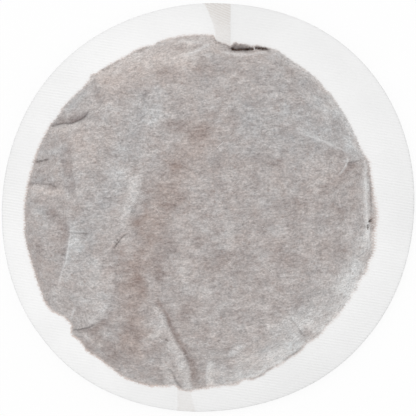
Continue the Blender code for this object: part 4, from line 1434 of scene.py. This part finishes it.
def filter_paper(look):
    """One paper for the whole pack: tinted by the coffee inside the seal line, white outside it, with
    painted light and shade at its folds, its rim and its flange.

    Distances from the seal are in millimetres, and grow inwards. The seal's edge is ragged, and
    follows the ribs where the comb is strong.
    """
    material, nodes, position = new_material("filter_paper")
    web, relief = fibre_web(nodes, position)
    broken = nodes.patches(position, 0.0, (0.9, 0.9, 0.9), 2.0)
    shade = nodes.maths("MULTIPLY", nodes.attribute("shade"), nodes.total(0.95, (broken, 2.2)))
    # Dark fold lines: painted shade in the creases, partly coffee showing through
    pillow = nodes.mix(nodes.within(shade), pillow_colour(nodes, look, position, web), look.coffee)
    # Pale fold lines: painted highlights along ridges and lips, partly paper standing off the coffee
    ridge_highlight = nodes.within(nodes.maths("MULTIPLY", shade, -1.0))
    pillow = nodes.mix(ridge_highlight, pillow, look.pressed)
    inset = nodes.attribute("inset")
    comb = rib_wave(nodes, position, RIB_FALL, RIB_PITCH)
    comb_strength = nodes.attribute("comb")
    teeth = nodes.maths("MULTIPLY", comb, comb_strength)
    ragged = nodes.patches(position, 0.0, (0.9, 0.6, 0.8), 3.0)
    edge = nodes.total(inset, (ragged, 1.7), (teeth, 0.12))
    flange = flange_colour(nodes, look, position, web, broken, comb)
    # Painted shade of the fold lines, such as the pocket's shadow, carried a little way past the seal onto
    # the flange
    shade_on_flange = nodes.maths("MULTIPLY", nodes.ramp(inset, -0.9, -0.1, 0.0, 0.8), shade, clamp=True)
    flange = nodes.mix(shade_on_flange, flange, look.coffee)
    dust = nodes.patches(position, 9.0, (1.1, 0.45, 0.8), 3.0)
    dust = nodes.ramp(nodes.total(dust, (teeth, 0.08)), -0.12, 0.14)
    dust = nodes.maths("MULTIPLY", dust, nodes.attribute("stain"))
    farthest = nodes.total(-0.7, (comb_strength, -0.4))
    outside = nodes.maths("MULTIPLY", nodes.ramp(edge, farthest, -0.1), dust, clamp=True)
    flange = nodes.mix(outside, flange, look.stain)
    along_rim = nodes.maths("MULTIPLY", dust, 0.7)
    along_rim = nodes.maths("MULTIPLY", nodes.ramp(edge, 0.9, 0.2), along_rim, clamp=True)
    pillow = nodes.mix(along_rim, pillow, look.stain)
    surface = nodes.mix(nodes.ramp(edge, -0.3, 0.3), flange, pillow)
    sockets = {"Specular IOR Level": 0.25, "Sheen Weight": 0.15, "Sheen Roughness": 0.6}
    finish_material(nodes, surface, look.paper_roughness, relief, PAPER_RELIEF, sockets)
    return material


def ground_coffee(look):
    """Ground coffee, mottled dark and paler brown."""
    material, nodes, position = new_material("ground_coffee")
    tone = nodes.noise(position, 3.0, 0.7, scale=2.4)
    mixed = nodes.mix(nodes.ramp(tone, -0.2, 0.25), look.coffee, PALER_COFFEE)
    finish_material(nodes, mixed, 0.8, tone, COFFEE_RELIEF, {"Specular IOR Level": 0.3})
    return material


def loose_fibre(look):
    """Fibre of the paper, between its warm and its pressed tone."""
    material, nodes, position = new_material("loose_fibre")
    web, relief = fibre_web(nodes, position)
    mixed = nodes.mix(nodes.ramp(web, -0.3, 0.3), look.pale_warm, look.pressed)
    finish_material(nodes, mixed, 0.7, relief, FIBRE_RELIEF, {"Specular IOR Level": 0.3})
    return material


def finish_piece(piece, material):
    """Gives a finished piece its material, and makes it ride with the pack."""
    piece.data.materials.clear()
    piece.data.materials.append(material)
    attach(piece, "root")


def deselect():
    bpy.ops.object.select_all(action="DESELECT")


def joined(pieces, name):
    """Joins mesh objects into one, with its place in its mesh."""
    deselect()
    for piece in pieces:
        piece.select_set(True)
    bpy.context.view_layer.objects.active = pieces[0]
    bpy.ops.object.transform_apply(location=True, rotation=True, scale=True)
    bpy.ops.object.join()
    whole = bpy.context.active_object
    bpy.context.scene.cursor.location = ORIGIN
    bpy.ops.object.origin_set(type="ORIGIN_CURSOR")
    whole.name = name
    whole.data.name = name
    return whole


class POUCH_OT_body(Operator):
    """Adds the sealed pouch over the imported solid"""
    bl_idname = "pouch.add_body"
    bl_label = "Add the sealed pouch"

    def execute(self, context):
        shape = PouchShape(context.scene.pouch_form)
        shape.settled = settled_pouch(shape)
        pouch = bpy.data.objects.new("filter_pouch", pouch_mesh(shape))
        context.scene.collection.objects.link(pouch)
        finish_piece(pouch, filter_paper(context.scene.paper_look))
        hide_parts(NODE)
        return {"FINISHED"}


class POUCH_OT_coffee(Operator):
    """Adds the grains of coffee that show in the deepest folds along the seal"""
    bl_idname = "pouch.add_coffee"
    bl_label = "Add the coffee at the seal"

    def execute(self, context):
        draw = random.Random(COFFEE_SEED)
        spread = {"even": draw.uniform, "gathered": draw.gauss}
        pixels = []
        radii = []
        for count, (across, *across_range), (down, *down_range), radius_range in GRAIN_SPOTS.values():
            for _ in range(count):
                pixels.append((spread[across](*across_range), spread[down](*down_range)))
                radii.append(draw.uniform(*radius_range))
        points = from_photo(pixels)
        grains = []
        for (x, y), z, radius in zip(points, paper_heights(points), np.array(radii) * MM):
            deselect()
            place = (x, y, z + GRAIN_LIFT * radius)
            bpy.ops.mesh.primitive_ico_sphere_add(subdivisions=2, radius=radius, location=place)
            grain = context.active_object
            grain.rotation_euler = [draw.uniform(0.0, FULL_TURN) for _ in range(3)]
            grain.scale = (1.0, *[draw.uniform(*squash) for squash in GRAIN_SQUASH])
            for vertex in grain.data.vertices:
                waves = vertex.co * (GRAIN_LUMP_WAVES / radius) + Vector((x, y, z)) / MM
                vertex.co *= 1.0 + GRAIN_LUMPS * noise.noise(waves)
            grains.append(grain)
        coffee = joined(grains, "coffee_grains")
        bpy.ops.object.shade_flat()
        finish_piece(coffee, ground_coffee(context.scene.paper_look))
        return {"FINISHED"}


class POUCH_OT_fibres(Operator):
    """Adds stray fibres that lie loose on the paper"""
    bl_idname = "pouch.add_fibres"
    bl_label = "Add the stray fibres"

    count: IntProperty(name="Count", description="Number of stray fibres", default=45)

    def execute(self, context):
        shape = PouchShape(context.scene.pouch_form)
        draw = random.Random(FIBRE_SEED)
        routes = [fibre_route(shape, draw) for _ in range(self.count)]
        routes += [straight_fibre(*bundle) for bundle in FIBRE_BUNDLES.values()]
        heights = paper_heights(np.concatenate([plan for plan, _ in routes]))
        fibres = []
        for plan, radius in routes:
            height, heights = heights[:len(plan)] + radius, heights[len(plan):]
            height = np.maximum(height, np.linspace(height[0], height[-1], len(height)))
            points = np.column_stack([plan, height])
            deselect()
            bpy.ops.curve.primitive_nurbs_path_add(location=ORIGIN)
            fibre = context.active_object
            spline = fibre.data.splines[0]
            spline.points.add(len(points) - len(spline.points))
            for place, point in zip(spline.points, points):
                place.co = (*point, 1.0)
            fibre.data.resolution_u = 2
            fibre.data.bevel_depth = radius
            fibre.data.bevel_resolution = 1
            fibre.data.use_fill_caps = True
            bpy.ops.object.convert(target="MESH")
            fibres.append(context.active_object)
        whole = joined(fibres, "stray_fibres")
        bpy.ops.object.shade_smooth()
        finish_piece(whole, loose_fibre(context.scene.paper_look))
        return {"FINISHED"}


def paper_heights(plan):
    """Heights of the finished pouch's upper side."""
    pouch = bpy.data.objects.get("filter_pouch")
    if pouch is None:
        raise RuntimeError("Add the sealed pouch first")
    points = [vertex.co for vertex in pouch.data.vertices]
    tree = BVHTree.FromPolygons(points, [tuple(face.vertices) for face in pouch.data.polygons])
    return ray_heights(tree, plan, 1.0, np.zeros(len(plan)))


def fibre_route(shape, draw):
    """Plan route and radius of a stray fibre: a gently curved line."""
    start = shape.pouch_points([draw.uniform(0.0, 360.0)], draw.uniform(*STRAY_INSET) * MM)[0]
    heading = draw.gauss(0.0, STRAY_HEADING)
    bend = draw.gauss(0.0, STRAY_BEND)
    run = draw.uniform(*STRAY_STEP) * MM
    points = [start]
    for _ in range(STRAY_STEPS):
        heading += bend + draw.gauss(0.0, STRAY_WAVER)
        points.append(points[-1] + run * np.array([math.cos(heading), math.sin(heading)]))
    return np.array(points), draw.uniform(*STRAY_RADIUS) * MM


def straight_fibre(start, end, radius):
    """Plan route and radius of a bundle of fibres between two pixels of the photograph."""
    parts = np.linspace(0.0, 1.0, BUNDLE_POINTS)[:, None]
    start, end = from_photo([start, end])
    return start + parts * (end - start), radius


# Studio, in metres: the floor lies just below the pack's foot. The camera's sensor is in millimetres.
FLOOR_RADIUS = 1.2
FLOOR_DROP = 0.02 * MM
FLOOR_COLOUR = (0.94, 0.94, 0.94, 1.0)
WHITE = (1.0, 1.0, 1.0, 1.0)
LAMP_PLACE = (-0.14, 0.2, 0.92)
LAMP_SIZE = 0.55
SENSOR_WIDTH = 36.0


class POUCH_OT_studio(Operator):
    """Adds the floor, the light and the camera"""
    bl_idname = "pouch.add_studio"
    bl_label = "Add floor, light and camera"

    def execute(self, context):
        scene = context.scene
        light = scene.studio_light
        deselect()
        bpy.ops.mesh.primitive_circle_add(
            vertices=96, radius=FLOOR_RADIUS, fill_type="NGON", location=ORIGIN)
        floor = context.active_object
        floor.name = "studio_floor"
        for vertex in floor.data.vertices:
            vertex.co.z = -FLOOR_DROP
        floor.data.materials.append(floor_material(light))
        scene.world = studio_world(light)
        deselect()
        bpy.ops.object.light_add(type="AREA", location=LAMP_PLACE)
        lamp = context.active_object
        lamp.name = "broad_lamp"
        lamp.data.shape = "DISK"
        lamp.data.size = LAMP_SIZE
        lamp.data.energy = light.lamp
        lamp.rotation_euler = (-lamp.location).to_track_quat("-Z", "Y").to_euler()
        deselect()
        distance = light.view_width * light.focal_length / SENSOR_WIDTH
        flange = scene.pouch_form.seal_height
        across, along = from_photo([(PHOTO_SIDE / 2.0, PHOTO_SIDE / 2.0)])[0]
        bpy.ops.object.camera_add(location=(across, along, flange + distance), rotation=(0.0, 0.0, 0.0))
        camera = context.active_object
        camera.name = "top_camera"
        camera.data.sensor_width = SENSOR_WIDTH
        camera.data.lens = light.focal_length
        camera.data.clip_start = 0.02
        camera.data.clip_end = 10.0
        scene.camera = camera
        scene.view_settings.view_transform = "Standard"
        return {"FINISHED"}


def seen_directly(nodes):
    """1 for what the camera sees directly or in a reflection or through glass, else 0."""
    path = nodes.add("ShaderNodeLightPath").outputs
    seen = nodes.maths("MAXIMUM", path["Is Camera Ray"], path["Is Glossy Ray"])
    return nodes.maths("MAXIMUM", seen, path["Is Transmission Ray"])


def floor_material(light):
    """A pale floor that the camera sees as white, with the pack's soft shadow on it."""
    material = bpy.data.materials.new("studio_floor")
    nodes = emptied(material)
    plain = nodes.add("ShaderNodeBsdfDiffuse", {"Color": FLOOR_COLOUR})
    white = nodes.add("ShaderNodeEmission", {"Color": WHITE, "Strength": 1.0})
    glow = nodes.maths("MULTIPLY", seen_directly(nodes), light.floor_glow)
    mixed = nodes.add("ShaderNodeMixShader", {0: glow, 1: plain.outputs[0], 2: white.outputs[0]})
    nodes.add("ShaderNodeOutputMaterial", {"Surface": mixed.outputs[0]})
    return material


def studio_world(light):
    """Even light from all round, seen by the camera as white."""
    world = bpy.data.worlds.new("studio_world")
    nodes = emptied(world)
    even = nodes.add("ShaderNodeBackground", {"Color": WHITE, "Strength": light.sky})
    white = nodes.add("ShaderNodeBackground", {"Color": WHITE, "Strength": 1.0})
    inputs = {0: seen_directly(nodes), 1: even.outputs[0], 2: white.outputs[0]}
    mixed = nodes.add("ShaderNodeMixShader", inputs)
    nodes.add("ShaderNodeOutputWorld", {"Surface": mixed.outputs[0]})
    return world


class VIEW3D_PT_filter_pack(Panel):
    """Lists the pack's sizes and colours, and the steps that build it"""
    bl_label = "Filter pack"
    bl_space_type = "VIEW_3D"
    bl_region_type = "UI"
    bl_category = "Filter pack"

    def draw(self, context):
        for group in (context.scene.pouch_form, context.scene.paper_look, context.scene.studio_light):
            box = self.layout.box()
            for name in group.__annotations__:
                box.prop(group, name)
        for step in OPERATORS:
            self.layout.operator(step.bl_idname)


GROUPS = {"pouch_form": PouchForm, "paper_look": PaperLook, "studio_light": StudioLight}
OPERATORS = (POUCH_OT_body, POUCH_OT_coffee, POUCH_OT_fibres, POUCH_OT_studio)


def register():
    for name, group in GROUPS.items():
        bpy.utils.register_class(group)
        setattr(bpy.types.Scene, name, PointerProperty(type=group))
    for step in OPERATORS:
        bpy.utils.register_class(step)
    bpy.utils.register_class(VIEW3D_PT_filter_pack)


def unregister():
    bpy.utils.unregister_class(VIEW3D_PT_filter_pack)
    for step in reversed(OPERATORS):
        bpy.utils.unregister_class(step)
    for name, group in GROUPS.items():
        delattr(bpy.types.Scene, name)
        bpy.utils.unregister_class(group)


def main():
    register()
    bpy.ops.pouch.add_body()
    bpy.ops.pouch.add_coffee()
    bpy.ops.pouch.add_fibres()
    bpy.ops.pouch.add_studio()
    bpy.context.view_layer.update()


if __name__ == "__main__":
    main()
